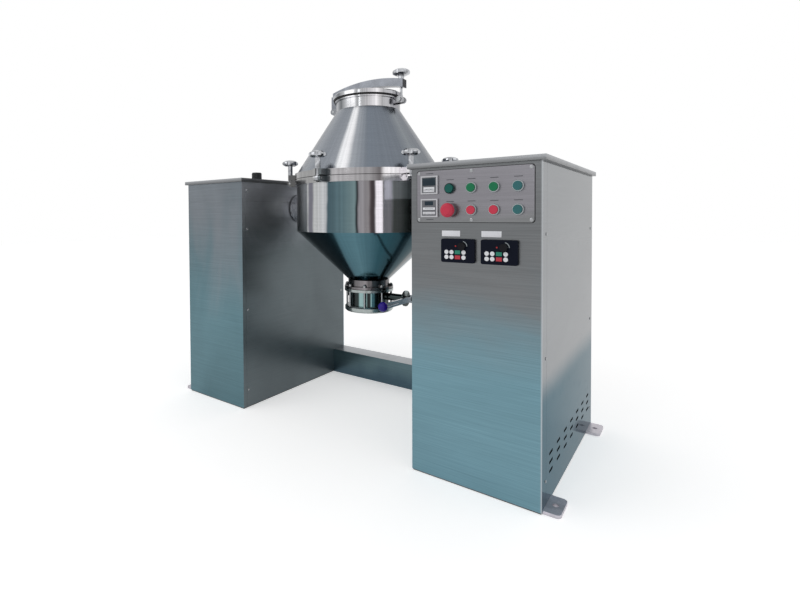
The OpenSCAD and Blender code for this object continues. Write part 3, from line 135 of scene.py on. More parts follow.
def new_group(name, inputs, outputs):
    """A shader node group; inputs are (name, socket kind, value), outputs are (name, socket kind)."""
    tree = bpy.data.node_groups.new(name, "ShaderNodeTree")
    for socket_name, kind, value in inputs:
        socket = tree.interface.new_socket(name=socket_name, in_out="INPUT", socket_type=kind)
        socket.default_value = value
    for socket_name, kind in outputs:
        tree.interface.new_socket(name=socket_name, in_out="OUTPUT", socket_type=kind)
    return tree, tree.nodes.new("NodeGroupInput").outputs, tree.nodes.new("NodeGroupOutput").inputs


def stretched_coordinates(tree, scale):
    place = tree.nodes.new("ShaderNodeTexCoord").outputs["Object"]
    return add_node(tree, "ShaderNodeMapping", Vector=place, Scale=scale).outputs[0]


def make_grain_group():
    """Fine brushed lines: long along the brushing, short across it."""
    tree, given, out = new_group("brushed grain", [
        ("Stretch", "NodeSocketVector", (6.0, 6.0, 900.0)), ("Depth", "NodeSocketFloat", 1.0)],
        [("Height", "NodeSocketFloat"), ("Line", "NodeSocketFloat")])
    place = stretched_coordinates(tree, given["Stretch"])
    fine = add_node(tree, "ShaderNodeTexNoise", Vector=place, Scale=1.0, Detail=3.0, Roughness=0.65)
    tree.links.new(math_node(tree, "MULTIPLY", fine.outputs[0], given["Depth"]), out["Height"])
    tree.links.new(fine.outputs[0], out["Line"])
    return tree


def make_cloud_group():
    """Large soft patches and smaller wipe or handling marks."""
    tree, given, out = new_group("wiped clouds", [
        ("Stretch", "NodeSocketVector", (2.0, 2.0, 5.0)), ("Contrast", "NodeSocketFloat", 1.0)],
        [("Patch", "NodeSocketFloat"), ("Wipe", "NodeSocketFloat")])
    place = stretched_coordinates(tree, given["Stretch"])
    patch = add_node(tree, "ShaderNodeTexNoise", Vector=place, Scale=1.0, Detail=4.0, Roughness=0.55,
                     Distortion=0.6)
    centred = math_node(tree, "SUBTRACT", patch.outputs[0], 0.5)
    tree.links.new(math_node(tree, "MULTIPLY", centred, given["Contrast"]), out["Patch"])
    wipe = add_node(tree, "ShaderNodeTexNoise", Vector=place, Scale=5.0, Detail=6.0, Roughness=0.6,
                    Distortion=2.0)
    tree.links.new(map_range(tree, wipe.outputs[0], 0.52, 0.75), out["Wipe"])
    return tree


def make_height_group():
    """One colour above, another below, blended between two heights over the floor."""
    tree, given, out = new_group("colour by height", [
        ("Upper", "NodeSocketColor", rgb(0.24, 0.25, 0.26)),
        ("Lower", "NodeSocketColor", rgb(0.14, 0.22, 0.26)),
        ("Low end", "NodeSocketFloat", 0.40), ("High end", "NodeSocketFloat", 0.82),
        ("Shift", "NodeSocketFloat", 0.0)], [("Colour", "NodeSocketColor"), ("Share", "NodeSocketFloat")])
    place = tree.nodes.new("ShaderNodeTexCoord").outputs["Object"]
    height = add_node(tree, "ShaderNodeSeparateXYZ", Vector=place).outputs["Z"]
    shifted = math_node(tree, "ADD", height, given["Shift"])
    share = map_range(tree, shifted, given["Low end"], given["High end"], smooth=True)
    tree.links.new(mix_colour(tree, share, given["Lower"], given["Upper"]), out["Colour"])
    tree.links.new(share, out["Share"])
    return tree


def make_turn_group():
    """Share of the way round the drum's front half, from 0 to 1, folded behind."""
    tree, given, out = new_group("share round the drum", [
        ("Hub X", "NodeSocketFloat", 0.0), ("Facing", "NodeSocketFloat", -0.99),
        ("Wobble", "NodeSocketFloat", 0.02)],
        [("Share", "NodeSocketFloat"), ("Thin", "NodeSocketFloat")])
    place = tree.nodes.new("ShaderNodeTexCoord").outputs["Object"]
    split = add_node(tree, "ShaderNodeSeparateXYZ", Vector=place)
    across = math_node(tree, "SUBTRACT", split.outputs["X"], given["Hub X"])
    angle = math_node(tree, "ARCTAN2", split.outputs["Y"], across)
    turned = math_node(tree, "SUBTRACT", angle, given["Facing"])
    share = math_node(tree, "ADD", math_node(tree, "DIVIDE", turned, math.pi), 0.5)
    folded = math_node(tree, "PINGPONG", share, 1.0)
    stretched = stretched_coordinates(tree, (3.0, 3.0, 9.0))
    wave = add_node(tree, "ShaderNodeTexNoise", Vector=stretched, Scale=1.0)
    bent = math_node(tree, "MULTIPLY", math_node(tree, "SUBTRACT", wave.outputs[0], 0.5), given["Wobble"])
    tree.links.new(math_node(tree, "ADD", folded, bent), out["Share"])
    lines = add_node(tree, "ShaderNodeCombineXYZ", X=math_node(tree, "MULTIPLY", folded, 60.0)).outputs[0]
    thin = add_node(tree, "ShaderNodeTexNoise", Vector=lines, Scale=1.0, Detail=2.0)
    tree.links.new(thin.outputs[0], out["Thin"])
    return tree


def make_fold_highlight_group():
    """Painted highlight: a light line along an upright fold of the sheet."""
    tree, given, out = new_group("painted fold highlight", [
        ("Fold X", "NodeSocketFloat", 0.0), ("Width", "NodeSocketFloat", 0.005)],
        [("Mask", "NodeSocketFloat")])
    place = tree.nodes.new("ShaderNodeTexCoord").outputs["Object"]
    across = add_node(tree, "ShaderNodeSeparateXYZ", Vector=place).outputs["X"]
    away = math_node(tree, "ABSOLUTE", math_node(tree, "SUBTRACT", across, given["Fold X"]))
    tree.links.new(map_range(tree, away, 0.0, given["Width"], 1.0, 0.0), out["Mask"])
    return tree


GRAIN = make_grain_group()
CLOUDS = make_cloud_group()
BY_HEIGHT = make_height_group()
TURN = make_turn_group()
FOLD_HIGHLIGHT = make_fold_highlight_group()


def use_group(tree, group, **inputs):
    made = tree.nodes.new("ShaderNodeGroup")
    made.node_tree = group
    for key, value in inputs.items():
        socket = made.inputs[key.replace("_", " ")]
        if isinstance(value, bpy.types.NodeSocket):
            tree.links.new(value, socket)
        else:
            socket.default_value = value
    return made.outputs


def new_material(name, metallic=0.0, roughness=0.5, **settings):
    """An empty Principled material; settings are its unlinked sockets."""
    material = bpy.data.materials.new(name)
    material.use_nodes = True
    tree = material.node_tree
    shader = tree.nodes["Principled BSDF"]
    shader.inputs["Metallic"].default_value = metallic
    shader.inputs["Roughness"].default_value = roughness
    for key, value in settings.items():
        shader.inputs[key.replace("_", " ")].default_value = value
    return material, tree, shader.inputs


def link_bump(tree, shader_inputs, height, distance):
    bump = add_node(tree, "ShaderNodeBump", Height=height, Distance=distance, Strength=1.0)
    tree.links.new(bump.outputs[0], shader_inputs["Normal"])


def shade_colour(tree, colour, gain):
    """The colour times a gain that changes over the surface."""
    shade = add_node(tree, "ShaderNodeCombineColor", Red=gain, Green=gain, Blue=gain).outputs[0]
    return mix_colour(tree, 1.0, colour, shade, "MULTIPLY")


# Most of a noise's values lie between these two
NOISE_LOW = 0.3
NOISE_HIGH = 0.7

# Colour of the painted highlight along a fold of the sheet
FOLD_HIGHLIGHT_COLOUR = rgb(0.46, 0.48, 0.50)

# How much patches change the light of a sheet, and how much marks and lines change roughness and surface
PATCH_LIGHT = 0.7
WIPED_ROUGH = 0.08
LINE_ROUGH = 0.12
BRUSHED_BUMP = 0.06 * MM
TURNED_BUMP = 0.03 * MM
TURNED_LINES = 0.06
HANDLED_ROUGH = 0.12
WORN_ROUGH = 0.1
MOULD_BUMP = 0.04 * MM


def brushed_sheet(name, upper, lower, low_end=0.40, high_end=0.82, roughness=0.30, stretch=(5, 5, 700),
                  cloud_stretch=(1.6, 1.6, 4.0), cloud=0.5, grain=0.25, anisotropic=0.4, edge=1.0,
                  shift=1.0, fold_x=None, metallic=1.0):
    """Brushed stainless sheet with fine lines, soft clouds and wipe marks, an upper and a lower colour
    blended by height, and a painted highlight along its fold.
    """
    material, tree, shader = new_material(name, metallic=metallic, Anisotropic=anisotropic,
                                          Specular_Tint=rgb(edge, edge, edge))
    lines = use_group(tree, GRAIN, Stretch=stretch)
    marks = use_group(tree, CLOUDS, Stretch=cloud_stretch, Contrast=cloud)
    base = use_group(tree, BY_HEIGHT, Upper=rgb(*upper), Lower=rgb(*lower), Low_end=low_end,
                     High_end=high_end, Shift=math_node(tree, "MULTIPLY", marks["Patch"], shift))
    light = math_node(tree, "ADD", math_node(tree, "MULTIPLY", marks["Patch"], PATCH_LIGHT), 1.0)
    fine = map_range(tree, lines["Line"], NOISE_LOW, NOISE_HIGH, 1.0 - grain / 2, 1.0 + grain / 2)
    colour = shade_colour(tree, base["Colour"], math_node(tree, "MULTIPLY", light, fine))
    # Painted highlight along the fold
    if fold_x is not None:
        fold = use_group(tree, FOLD_HIGHLIGHT, Fold_X=fold_x)["Mask"]
        colour = mix_colour(tree, fold, colour, FOLD_HIGHLIGHT_COLOUR)
    tree.links.new(colour, shader["Base Color"])
    wiped = math_node(tree, "MULTIPLY", marks["Wipe"], WIPED_ROUGH)
    lined = math_node(tree, "MULTIPLY", lines["Line"], LINE_ROUGH)
    rough = math_node(tree, "ADD", lined, roughness - LINE_ROUGH / 2)
    tree.links.new(math_node(tree, "ADD", rough, wiped, clamp=True), shader["Roughness"])
    link_bump(tree, shader, lines["Height"], BRUSHED_BUMP)
    return material


def turned_steel(name, bands, roughness, wobble=0.02, fine=0.3, bump=TURNED_BUMP):
    """Turned steel with painted reflections: soft light and dark bands, painted highlights among them,
    painted round it; bands are (share, colour) pairs.
    """
    material, tree, shader = new_material(name, metallic=1.0, Anisotropic=0.3)
    turn = use_group(tree, TURN, Hub_X=hub_x, Facing=PAINTED_REFLECTIONS_FACE, Wobble=wobble)
    ramp = add_node(tree, "ShaderNodeValToRGB", Fac=turn["Share"])
    stops = ramp.color_ramp.elements
    stops[0].position, stops[0].color = bands[0][0], rgb(*bands[0][1])
    stops[1].position, stops[1].color = bands[-1][0], rgb(*bands[-1][1])
    for position, colour in bands[1:-1]:
        stops.new(position).color = rgb(*colour)
    gain = map_range(tree, turn["Thin"], NOISE_LOW, NOISE_HIGH, 1.0 - fine / 2, 1.0 + fine / 2)
    lines = use_group(tree, GRAIN, Stretch=(8.0, 8.0, 500.0))
    lined = map_range(tree, lines["Line"], NOISE_LOW, NOISE_HIGH, 1.0 - TURNED_LINES, 1.0 + TURNED_LINES)
    colour = shade_colour(tree, ramp.outputs["Color"], math_node(tree, "MULTIPLY", gain, lined))
    tree.links.new(colour, shader["Base Color"])
    tree.links.new(map_range(tree, lines["Line"], NOISE_LOW, NOISE_HIGH, roughness * 0.8, roughness * 1.3),
                   shader["Roughness"])
    link_bump(tree, shader, lines["Height"], bump)
    return material


def bright_metal(name, colour, roughness, patch=0.3, size=30.0):
    """Chrome or polished fittings with faint handling marks."""
    material, tree, shader = new_material(name, metallic=1.0)
    marks = use_group(tree, CLOUDS, Stretch=(size, size, size), Contrast=patch)
    shade = math_node(tree, "ADD", marks["Patch"], 1.0)
    tree.links.new(shade_colour(tree, rgb(*colour), shade), shader["Base Color"])
    handled = math_node(tree, "MULTIPLY", marks["Wipe"], HANDLED_ROUGH)
    tree.links.new(math_node(tree, "ADD", handled, roughness), shader["Roughness"])
    return material


def moulded_plastic(name, colour, roughness, scale=900.0, shine=0.22):
    """Moulded plastic or paint with a fine skin and slight colour change."""
    material, tree, shader = new_material(name, roughness=roughness, Specular_IOR_Level=shine)
    place = tree.nodes.new("ShaderNodeTexCoord").outputs["Object"]
    skin = add_node(tree, "ShaderNodeTexNoise", Vector=place, Scale=scale, Detail=2.0)
    wear = use_group(tree, CLOUDS, Stretch=(18.0, 18.0, 18.0), Contrast=0.35)
    shade = math_node(tree, "ADD", wear["Patch"], 1.0)
    tree.links.new(shade_colour(tree, rgb(*colour), shade), shader["Base Color"])
    worn = math_node(tree, "MULTIPLY", wear["Wipe"], WORN_ROUGH)
    tree.links.new(math_node(tree, "ADD", worn, roughness), shader["Roughness"])
    link_bump(tree, shader, skin.outputs[0], MOULD_BUMP)
    return material


# Painted reflection: on the column panels the grey upper colour blends into a teal lower one, the teal
# floor's reflection painted into the colour
panel_steel = brushed_sheet("panel steel", (0.155, 0.162, 0.168), (0.150, 0.270, 0.320), 0.26, 0.64,
                            fold_x=panel_high.x)
left_panel_steel = brushed_sheet("column steel with painted reflection", (0.170, 0.190, 0.210), (0.105, 0.190, 0.220),
                                 0.35, 0.88, cloud=0.9, cloud_stretch=(3.0, 3.0, 1.6))
# Painted reflection and shade: the inner side steel is light in its upper part and dark below
inner_steel = brushed_sheet("inner side steel", (0.44, 0.46, 0.50), (0.125, 0.150, 0.160), 0.62, 0.90, 0.3,
                            cloud=0.7, shift=0.4, metallic=0.72, cloud_stretch=(2.0, 3.0, 3.0), grain=0.15)
# Painted reflection: the outer side steel is near white above, the room's reflection, and dark teal below,
# the floor's, painted into the colour
side_steel = brushed_sheet("outer side steel", (0.43, 0.445, 0.46), (0.028, 0.150, 0.215), 0.27, 0.36, 0.12,
                           stretch=(5, 5, 300), cloud=0.3, grain=0.05, anisotropic=0.0, edge=0.62, shift=0.12)
plate_steel = brushed_sheet("control plate steel", (0.225, 0.22, 0.24), (0.19, 0.195, 0.20), 0.74, 0.80,
                            cloud=0.2, stretch=(5, 5, 1400))
# Painted highlight and shade: the covers' front is lighter along its top edge and darker below
cover_steel = brushed_sheet("top cover steel", (0.33, 0.34, 0.355), (0.165, 0.17, 0.175), 0.900, 0.914,
                            stretch=(4, 500, 500), cloud=0.4, shift=0.0)
# Painted light: the beam's front is a darker copy of its steel, teal below where the floor's reflection is
# painted, and its top a lighter copy
beam_front_steel = brushed_sheet("beam front steel", (0.115, 0.18, 0.20), (0.07, 0.115, 0.145), 0.02, 0.1,
                                 cloud=0.4, shift=0.3, cloud_stretch=(5.0, 2.0, 2.0))
beam_top_steel = brushed_sheet("beam top steel", (0.27, 0.285, 0.30), (0.27, 0.285, 0.30), 0.0, 0.1)
foot_steel = brushed_sheet("foot bracket steel", (0.58, 0.55, 0.60), (0.50, 0.48, 0.52), 0.0, 0.01, 0.38,
                           stretch=(200, 200, 30), cloud=0.6)
# Painted reflections: the bands of these turned steels are reflected room and light painted into the colour,
# with painted highlights in the brightest bands
barrel_steel = turned_steel("barrel steel", (
    (0.00, (0.05, 0.053, 0.056)), (0.075, (0.08, 0.082, 0.084)), (0.10, (0.62, 0.62, 0.61)),
    (0.215, (0.50, 0.51, 0.51)), (0.228, (0.15, 0.15, 0.18)), (0.250, (0.17, 0.17, 0.20)),
    (0.260, (0.46, 0.47, 0.47)), (0.325, (0.48, 0.49, 0.51)), (0.336, (0.06, 0.10, 0.12)),
    (0.40, (0.10, 0.16, 0.18)), (0.449, (0.15, 0.215, 0.225)), (0.457, (0.012, 0.015, 0.018)),
    (0.467, (0.28, 0.27, 0.29)), (0.500, (0.23, 0.215, 0.225)), (0.510, (0.06, 0.047, 0.052)),
    (0.523, (0.045, 0.038, 0.042)), (0.531, (0.84, 0.80, 0.86)), (0.586, (0.88, 0.84, 0.90)),
    (0.596, (0.36, 0.38, 0.36)), (0.68, (0.34, 0.37, 0.36)), (0.76, (0.12, 0.15, 0.16)),
    (1.00, (0.02, 0.027, 0.03))), 0.08)
lower_cone_steel = turned_steel("lower cone steel", (
    (0.00, (0.03, 0.04, 0.045)), (0.14, (0.012, 0.03, 0.042)), (0.32, (0.018, 0.055, 0.075)),
    (0.355, (0.070, 0.165, 0.205)), (0.44, (0.095, 0.20, 0.24)), (0.50, (0.065, 0.150, 0.185)),
    (0.56, (0.025, 0.085, 0.11)), (0.69, (0.014, 0.05, 0.065)), (0.77, (0.014, 0.05, 0.062)),
    (0.785, (0.13, 0.14, 0.14)), (0.83, (0.11, 0.12, 0.125)), (0.845, (0.03, 0.08, 0.095)),
    (1.00, (0.02, 0.05, 0.06))), 0.12, wobble=0.01, fine=0.12)
upper_cone_steel = turned_steel("upper cone steel", (
    (0.00, (0.10, 0.11, 0.13)), (0.14, (0.15, 0.165, 0.19)), (0.20, (0.24, 0.26, 0.29)),
    (0.30, (0.215, 0.235, 0.265)), (0.355, (0.26, 0.28, 0.31)), (0.375, (0.74, 0.75, 0.77)),
    (0.405, (0.86, 0.86, 0.88)), (0.43, (0.32, 0.34, 0.37)), (0.50, (0.17, 0.195, 0.23)),
    (0.66, (0.165, 0.185, 0.215)), (0.72, (0.22, 0.24, 0.26)), (0.80, (0.13, 0.145, 0.17)),
    (1.00, (0.10, 0.11, 0.13))), 0.24, wobble=0.012, fine=0.16, bump=BRUSHED_BUMP)
flange_steel = turned_steel("flange steel", (
    (0.00, (0.10, 0.10, 0.10)), (0.10, (0.26, 0.26, 0.26)), (0.30, (0.34, 0.34, 0.34)),
    (0.33, (0.12, 0.14, 0.15)), (0.36, (0.42, 0.41, 0.42)), (0.50, (0.32, 0.31, 0.32)),
    (0.545, (0.14, 0.13, 0.135)), (0.56, (0.88, 0.86, 0.88)), (0.66, (0.74, 0.72, 0.75)),
    (0.70, (0.18, 0.18, 0.18)), (1.00, (0.10, 0.10, 0.10))), 0.14)
neck_steel = turned_steel("neck steel", (
    (0.00, (0.10, 0.11, 0.12)), (0.12, (0.30, 0.31, 0.33)), (0.20, (0.14, 0.15, 0.16)),
    (0.28, (0.55, 0.56, 0.58)), (0.36, (0.78, 0.78, 0.80)), (0.40, (0.30, 0.31, 0.32)),
    (0.52, (0.55, 0.54, 0.56)), (0.58, (0.86, 0.84, 0.86)), (0.64, (0.34, 0.34, 0.35)),
    (0.80, (0.34, 0.34, 0.36)), (1.00, (0.12, 0.12, 0.13))), 0.13, fine=0.4)
valve_steel = turned_steel("valve steel", (
    (0.00, (0.02, 0.024, 0.024)), (0.16, (0.05, 0.06, 0.06)), (0.20, (0.20, 0.23, 0.23)),
    (0.25, (0.03, 0.035, 0.035)), (0.33, (0.03, 0.04, 0.04)), (0.35, (0.24, 0.36, 0.36)),
    (0.46, (0.22, 0.34, 0.34)), (0.48, (0.02, 0.025, 0.025)), (0.52, (0.03, 0.035, 0.035)),
    (0.535, (0.20, 0.33, 0.34)), (0.58, (0.24, 0.37, 0.38)), (0.60, (0.03, 0.04, 0.04)),
    (1.00, (0.04, 0.05, 0.05))), 0.09, wobble=0.005)
outlet_steel = turned_steel("outlet neck steel", (
    (0.00, (0.06, 0.06, 0.062)), (0.30, (0.13, 0.125, 0.13)), (0.45, (0.24, 0.225, 0.235)),
    (0.50, (0.10, 0.092, 0.096)), (0.65, (0.20, 0.185, 0.19)), (1.00, (0.06, 0.06, 0.06))), 0.15)
chrome = bright_metal("knob chrome", (0.40, 0.41, 0.43), 0.08, patch=2.2, size=50.0)
ring_steel = bright_metal("button ring steel", (0.30, 0.33, 0.34), 0.24)
arm_steel = bright_metal("lid arm steel", (0.17, 0.18, 0.20), 0.2, patch=0.8)
rim_steel = bright_metal("valve flange steel", (0.33, 0.365, 0.36), 0.22, patch=1.0)
lever_steel = bright_metal("valve lever steel", (0.34, 0.35, 0.38), 0.2, patch=0.8)
# Painted shade: a near-black copy of the arm's steel for the arm's end face
shaded_steel = bright_metal("lid arm end painted shade", (0.025, 0.026, 0.03), 0.3)
screw_steel = bright_metal("screw steel", (0.32, 0.33, 0.34), 0.25)
shaft_steel = bright_metal("machined steel", (0.5, 0.5, 0.52), 0.25)
frame_paint = moulded_plastic("frame paint", (0.16, 0.165, 0.17), 0.5)
machine_paint = moulded_plastic("machine paint", (0.05, 0.12, 0.20), 0.38)
bearing_paint = moulded_plastic("bearing paint", (0.03, 0.12, 0.06), 0.4)
pulley_iron = moulded_plastic("pulley iron", (0.12, 0.12, 0.125), 0.45)
black_rubber = moulded_plastic("black rubber", (0.012, 0.012, 0.013), 0.6, scale=400.0)
black_plastic = moulded_plastic("black plastic", (0.014, 0.015, 0.017), 0.38)
cap_plastic = moulded_plastic("cover cap plastic", (0.035, 0.037, 0.04), 0.45)
keypad_plastic = moulded_plastic("keypad plastic", (0.003, 0.005, 0.013), 0.45, shine=0.08)
white_plastic = moulded_plastic("white plastic", (0.84, 0.85, 0.89), 0.35)
meter_plastic = moulded_plastic("meter plastic", (0.62, 0.62, 0.65), 0.4)
meter_field = moulded_plastic("meter field plastic", (0.16, 0.165, 0.18), 0.45)
key_plastic = moulded_plastic("grey key plastic", (0.34, 0.38, 0.40), 0.4)
window_plastic = moulded_plastic("meter window plastic", (0.012, 0.028, 0.042), 0.2)
line_plastic = moulded_plastic("dark line plastic", (0.07, 0.075, 0.085), 0.5)
grey_plastic = moulded_plastic("speed knob plastic", (0.006, 0.006, 0.009), 0.35, shine=0.12)
ball_plastic = moulded_plastic("lever ball plastic", (0.024, 0.008, 0.24), 0.2)
red_plastic = moulded_plastic("red button plastic", (0.60, 0.045, 0.085), 0.34)
green_plastic = moulded_plastic("green button plastic", (0.006, 0.18, 0.075), 0.34)
teal_plastic = moulded_plastic("teal button plastic", (0.035, 0.15, 0.16), 0.34)
power_plastic = moulded_plastic("power button plastic", (0.003, 0.11, 0.090), 0.22)
collar_plastic = moulded_plastic("power collar plastic", (0.006, 0.035, 0.035), 0.25)
green_key = moulded_plastic("green key plastic", (0.03, 0.25, 0.17), 0.4)
red_key = moulded_plastic("red key plastic", (0.52, 0.05, 0.07), 0.4)
lamp_plastic = moulded_plastic("lamp plastic", (0.45, 0.03, 0.03), 0.25)


def paint_node(material, *names):
    for name in names:
        data = nodes[name].data
        data.materials.clear()
        data.materials.append(material)


def paint_faces(name, material, test):
    """Gives material to the faces of a CAD node whose (centre, normal) passes test."""
    data = nodes[name].data
    data.materials.append(material)
    index = len(data.materials) - 1
    for polygon in data.polygons:
        if test(polygon.center, polygon.normal):
            polygon.material_index = index


# Where the finish, the painted reflections or the painted shade change on one CAD node: distances from the
# node's own ends or from the shaft
SKIN = 0.4 * MM
BARREL_BELOW_SHAFT = 93 * MM
LOWER_CONE_HEIGHT = 192 * MM
NECK_HEIGHT = 38 * MM
UPPER_FLANGE_THICK = 22 * MM
LOWER_FLANGE_REACH = 26.4 * MM
VALVE_FLANGE_THICK = 10 * MM
VALVE_FOOT_THICK = 22 * MM
ARM_END_OUT = 100 * MM
ARM_END_SQUARE = 0.8
POWER_RING_HALF = 20 * MM

joint_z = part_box("upper_shell")[0].z
neck_foot_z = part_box("upper_shell")[1].z - NECK_HEIGHT
barrel_foot_z = middle_of("left_trunnion")[2] - BARREL_BELOW_SHAFT
cone_foot_z = barrel_foot_z - LOWER_CONE_HEIGHT
valve_low, valve_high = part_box("valve_body")
plate_middle_z = middle_of("control_plate")[2]
power_x = middle_of("power_button")[0]

# Painted reflections: the column panels get the steels whose colours carry painted reflections
paint_node(panel_steel, "right_front_panel", "right_inner_panel", "back_panels")
paint_node(inner_steel, "left_inner_panel", "inner_upper_panels")
paint_node(left_panel_steel, "left_front_panel", "left_outer_panel")
paint_faces("left_front_panel", inner_steel, lambda centre, normal: normal.x > LOOKS_ALONG)
paint_node(side_steel, "right_outer_panel")
paint_faces("right_front_panel", side_steel, lambda centre, normal: normal.x > LOOKS_ALONG)
# Painted light and shade: the beam's front gets the darker steel and its top the lighter one
paint_node(beam_front_steel, "rear_beam")
paint_faces("rear_beam", beam_top_steel, lambda centre, normal: normal.z > LOOKS_ALONG)
paint_node(plate_steel, "control_plate")
paint_faces("control_plate", line_plastic, lambda centre, normal: abs(normal.y) < LOOKS_ALONG)
paint_node(cover_steel, "top_covers")
paint_node(foot_steel, "anchor_feet")
# Painted reflections: the drum's parts, the valve and the lid get the turned steels whose bands are painted
# reflections
paint_node(barrel_steel, "lower_shell")
paint_faces("lower_shell", lower_cone_steel, lambda centre, normal: centre.z < barrel_foot_z + SKIN)
paint_faces("lower_shell", outlet_steel, lambda centre, normal: centre.z < cone_foot_z + SKIN)
paint_faces("lower_shell", flange_steel, lambda centre, normal: centre.z > joint_z - LOWER_FLANGE_REACH)
paint_node(upper_cone_steel, "upper_shell")
paint_faces("upper_shell", flange_steel,
            lambda centre, normal: centre.z < joint_z + UPPER_FLANGE_THICK + SKIN)
paint_faces("upper_shell", neck_steel, lambda centre, normal: centre.z > neck_foot_z)
paint_node(valve_steel, "valve_body", "valve_disc")
paint_faces("valve_body", rim_steel, lambda centre, normal: centre.z > valve_high.z - VALVE_FLANGE_THICK
            or centre.z < valve_low.z + VALVE_FOOT_THICK)
paint_node(neck_steel, "lid")
paint_node(arm_steel, "lid_arm")
paint_node(lever_steel, "valve_lever")
# Painted shade on the lid arm's end face
paint_faces("lid_arm", shaded_steel,
            lambda centre, normal: normal.x > ARM_END_SQUARE and centre.x > hub_x + ARM_END_OUT)
paint_node(chrome, "lid_knob", *["clamp_%d" % (i + 1) for i in range(6)])
paint_node(ring_steel, "button_rings")
paint_faces("button_rings", collar_plastic,
            lambda centre, normal: abs(centre.x - power_x) < POWER_RING_HALF and centre.z > plate_middle_z)
paint_node(screw_steel, "panel_screws", "drum_bolts", "hinge_pins", "machine_bolts")
paint_node(shaft_steel, "left_trunnion", "right_trunnion", "chopper_shaft")
paint_node(frame_paint, "right_frame", "left_frame")
paint_node(machine_paint, "gear_reducer", "drum_motor", "chopper_motor")
paint_node(bearing_paint, "bearing_blocks")
paint_node(pulley_iron, "chopper_pulley", "motor_pulley")
paint_node(black_rubber, "drive_belt", "seals")
paint_node(black_plastic, "contact_blocks")
paint_node(cap_plastic, "top_cap")
paint_node(keypad_plastic, "keypads")
paint_node(meter_plastic, "meters")
paint_node(white_plastic, "electrical_panel")
paint_node(grey_plastic, "drum_speed_knob", "chopper_speed_knob")
paint_node(ball_plastic, "lever_ball")
paint_node(red_plastic, "drum_stop_button", "chopper_stop_button", "emergency_stop")
paint_node(green_plastic, "drum_start_button", "chopper_start_button")
paint_node(teal_plastic, "jog_button", "reset_button")
paint_node(power_plastic, "power_button")


# Keys of the two keypads: the round ones are white, and the wide pair is green above red
KNOB_RIGHT_OF_WIDE_KEYS = 14 * MM
KEY_HEIGHT = 0.8 * MM
KEY_DEPTH = 0.9 * KEY_HEIGHT
WIDE_KEY_HALF = 8.5 * MM
KEY_ROW_SPLIT = 11 * MM
knob_x = {name: middle_of(name)[0] for name in ("drum_speed_knob", "chopper_speed_knob")}
keypad_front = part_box("keypads")[0].y
keypad_middle_z = middle_of("keypads")[2]
key_split_z = keypad_middle_z - KEY_ROW_SPLIT


def on_key(centre, wide):
    """True on a key's faces: on the wide keys, or on the round ones."""
    aside = min(abs(centre.x - x + KNOB_RIGHT_OF_WIDE_KEYS) for x in knob_x.values())
    return centre.y < keypad_front + KEY_DEPTH and (aside < WIDE_KEY_HALF) == wide


paint_faces("keypads", white_plastic, lambda centre, normal: on_key(centre, False))
paint_faces("keypads", green_key, lambda centre, normal: on_key(centre, True) and centre.z > key_split_z)
paint_faces("keypads", red_key, lambda centre, normal: on_key(centre, True) and centre.z < key_split_z)


# Small fittings of the control column

SMOOTH_ANGLE = math.radians(35)

# Shares of a plate's thickness
EDGE_BEVEL = 0.3
SUNK_DEPTH = 0.25

# Only the flat front of a bevelled plate faces the front by more than this
FLAT_FRONT = 0.99


def fit(piece, name, material, body):
    """Names a finished piece, puts it at the origin and ties it to a body."""
    deselect_all()
    piece.select_set(True)
    bpy.context.view_layer.objects.active = piece
    bpy.ops.object.transform_apply(location=True, rotation=True, scale=True)
    bpy.ops.object.shade_smooth_by_angle(angle=SMOOTH_ANGLE)
    piece.name = name
    piece.data.name = name
    piece.data.materials.clear()
    piece.data.materials.append(material)
    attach(piece, body)


def front_plate(name, middle, width, height, thick, material, slot_name, rim=0.0):
    """A thin plate on the column's front: bevelled edges and, with rim, a sunk field."""
    deselect_all()
    bpy.ops.mesh.primitive_cube_add(size=1, location=middle)
    piece = bpy.context.object
    piece.scale = (width, thick, height)
    bpy.ops.object.transform_apply(location=False, rotation=False, scale=True)
    bpy.ops.object.mode_set(mode="EDIT")
    bpy.ops.mesh.select_all(action="SELECT")
    bpy.ops.mesh.bevel(offset=thick * EDGE_BEVEL, segments=2, affect="EDGES")
    bpy.ops.object.mode_set(mode="OBJECT")
    if rim:
        sink_front(piece, rim, thick * SUNK_DEPTH)
    fit(piece, name, material, "stand")


def select_faces(piece, test):
    """Leaves the piece in edit mode with only the faces that pass test selected."""
    bpy.ops.object.mode_set(mode="EDIT")
    bpy.ops.mesh.select_mode(type="FACE")
    bpy.ops.mesh.select_all(action="DESELECT")
    bpy.ops.object.mode_set(mode="OBJECT")
    for polygon in piece.data.polygons:
        polygon.select = test(polygon)
    bpy.ops.object.mode_set(mode="EDIT")


def sink_front(piece, rim, depth):
    """Insets the front face and pushes it back."""
    select_faces(piece, lambda polygon: polygon.normal.y < -FLAT_FRONT and polygon.area > rim * rim)
    bpy.ops.mesh.inset(thickness=rim, depth=-depth)
    bpy.ops.object.mode_set(mode="OBJECT")


LABEL_SIZE = (54 * MM, 16 * MM)
LABEL_THICK = 0.8 * MM
LABEL_RIM = 1.2 * MM
LABEL_UP = 47.5 * MM
LABEL_LEFT_OF_KNOB = 36.5 * MM


def make_labels():
    """Two blank white label plates above the keypads."""
    for name, x in knob_x.items():
        middle = (x - LABEL_LEFT_OF_KNOB, panel_front - LABEL_THICK / 2, keypad_middle_z + LABEL_UP)
        front_plate(name.replace("speed_knob", "label"), middle, *LABEL_SIZE, LABEL_THICK, white_plastic,
                    "white_plastic", LABEL_RIM)


METER_HALF = 26 * MM
METER_FLOOR_IN = 1.4 * MM
meter_low, meter_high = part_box("meters")
meter_x = middle_of("meters")[0]

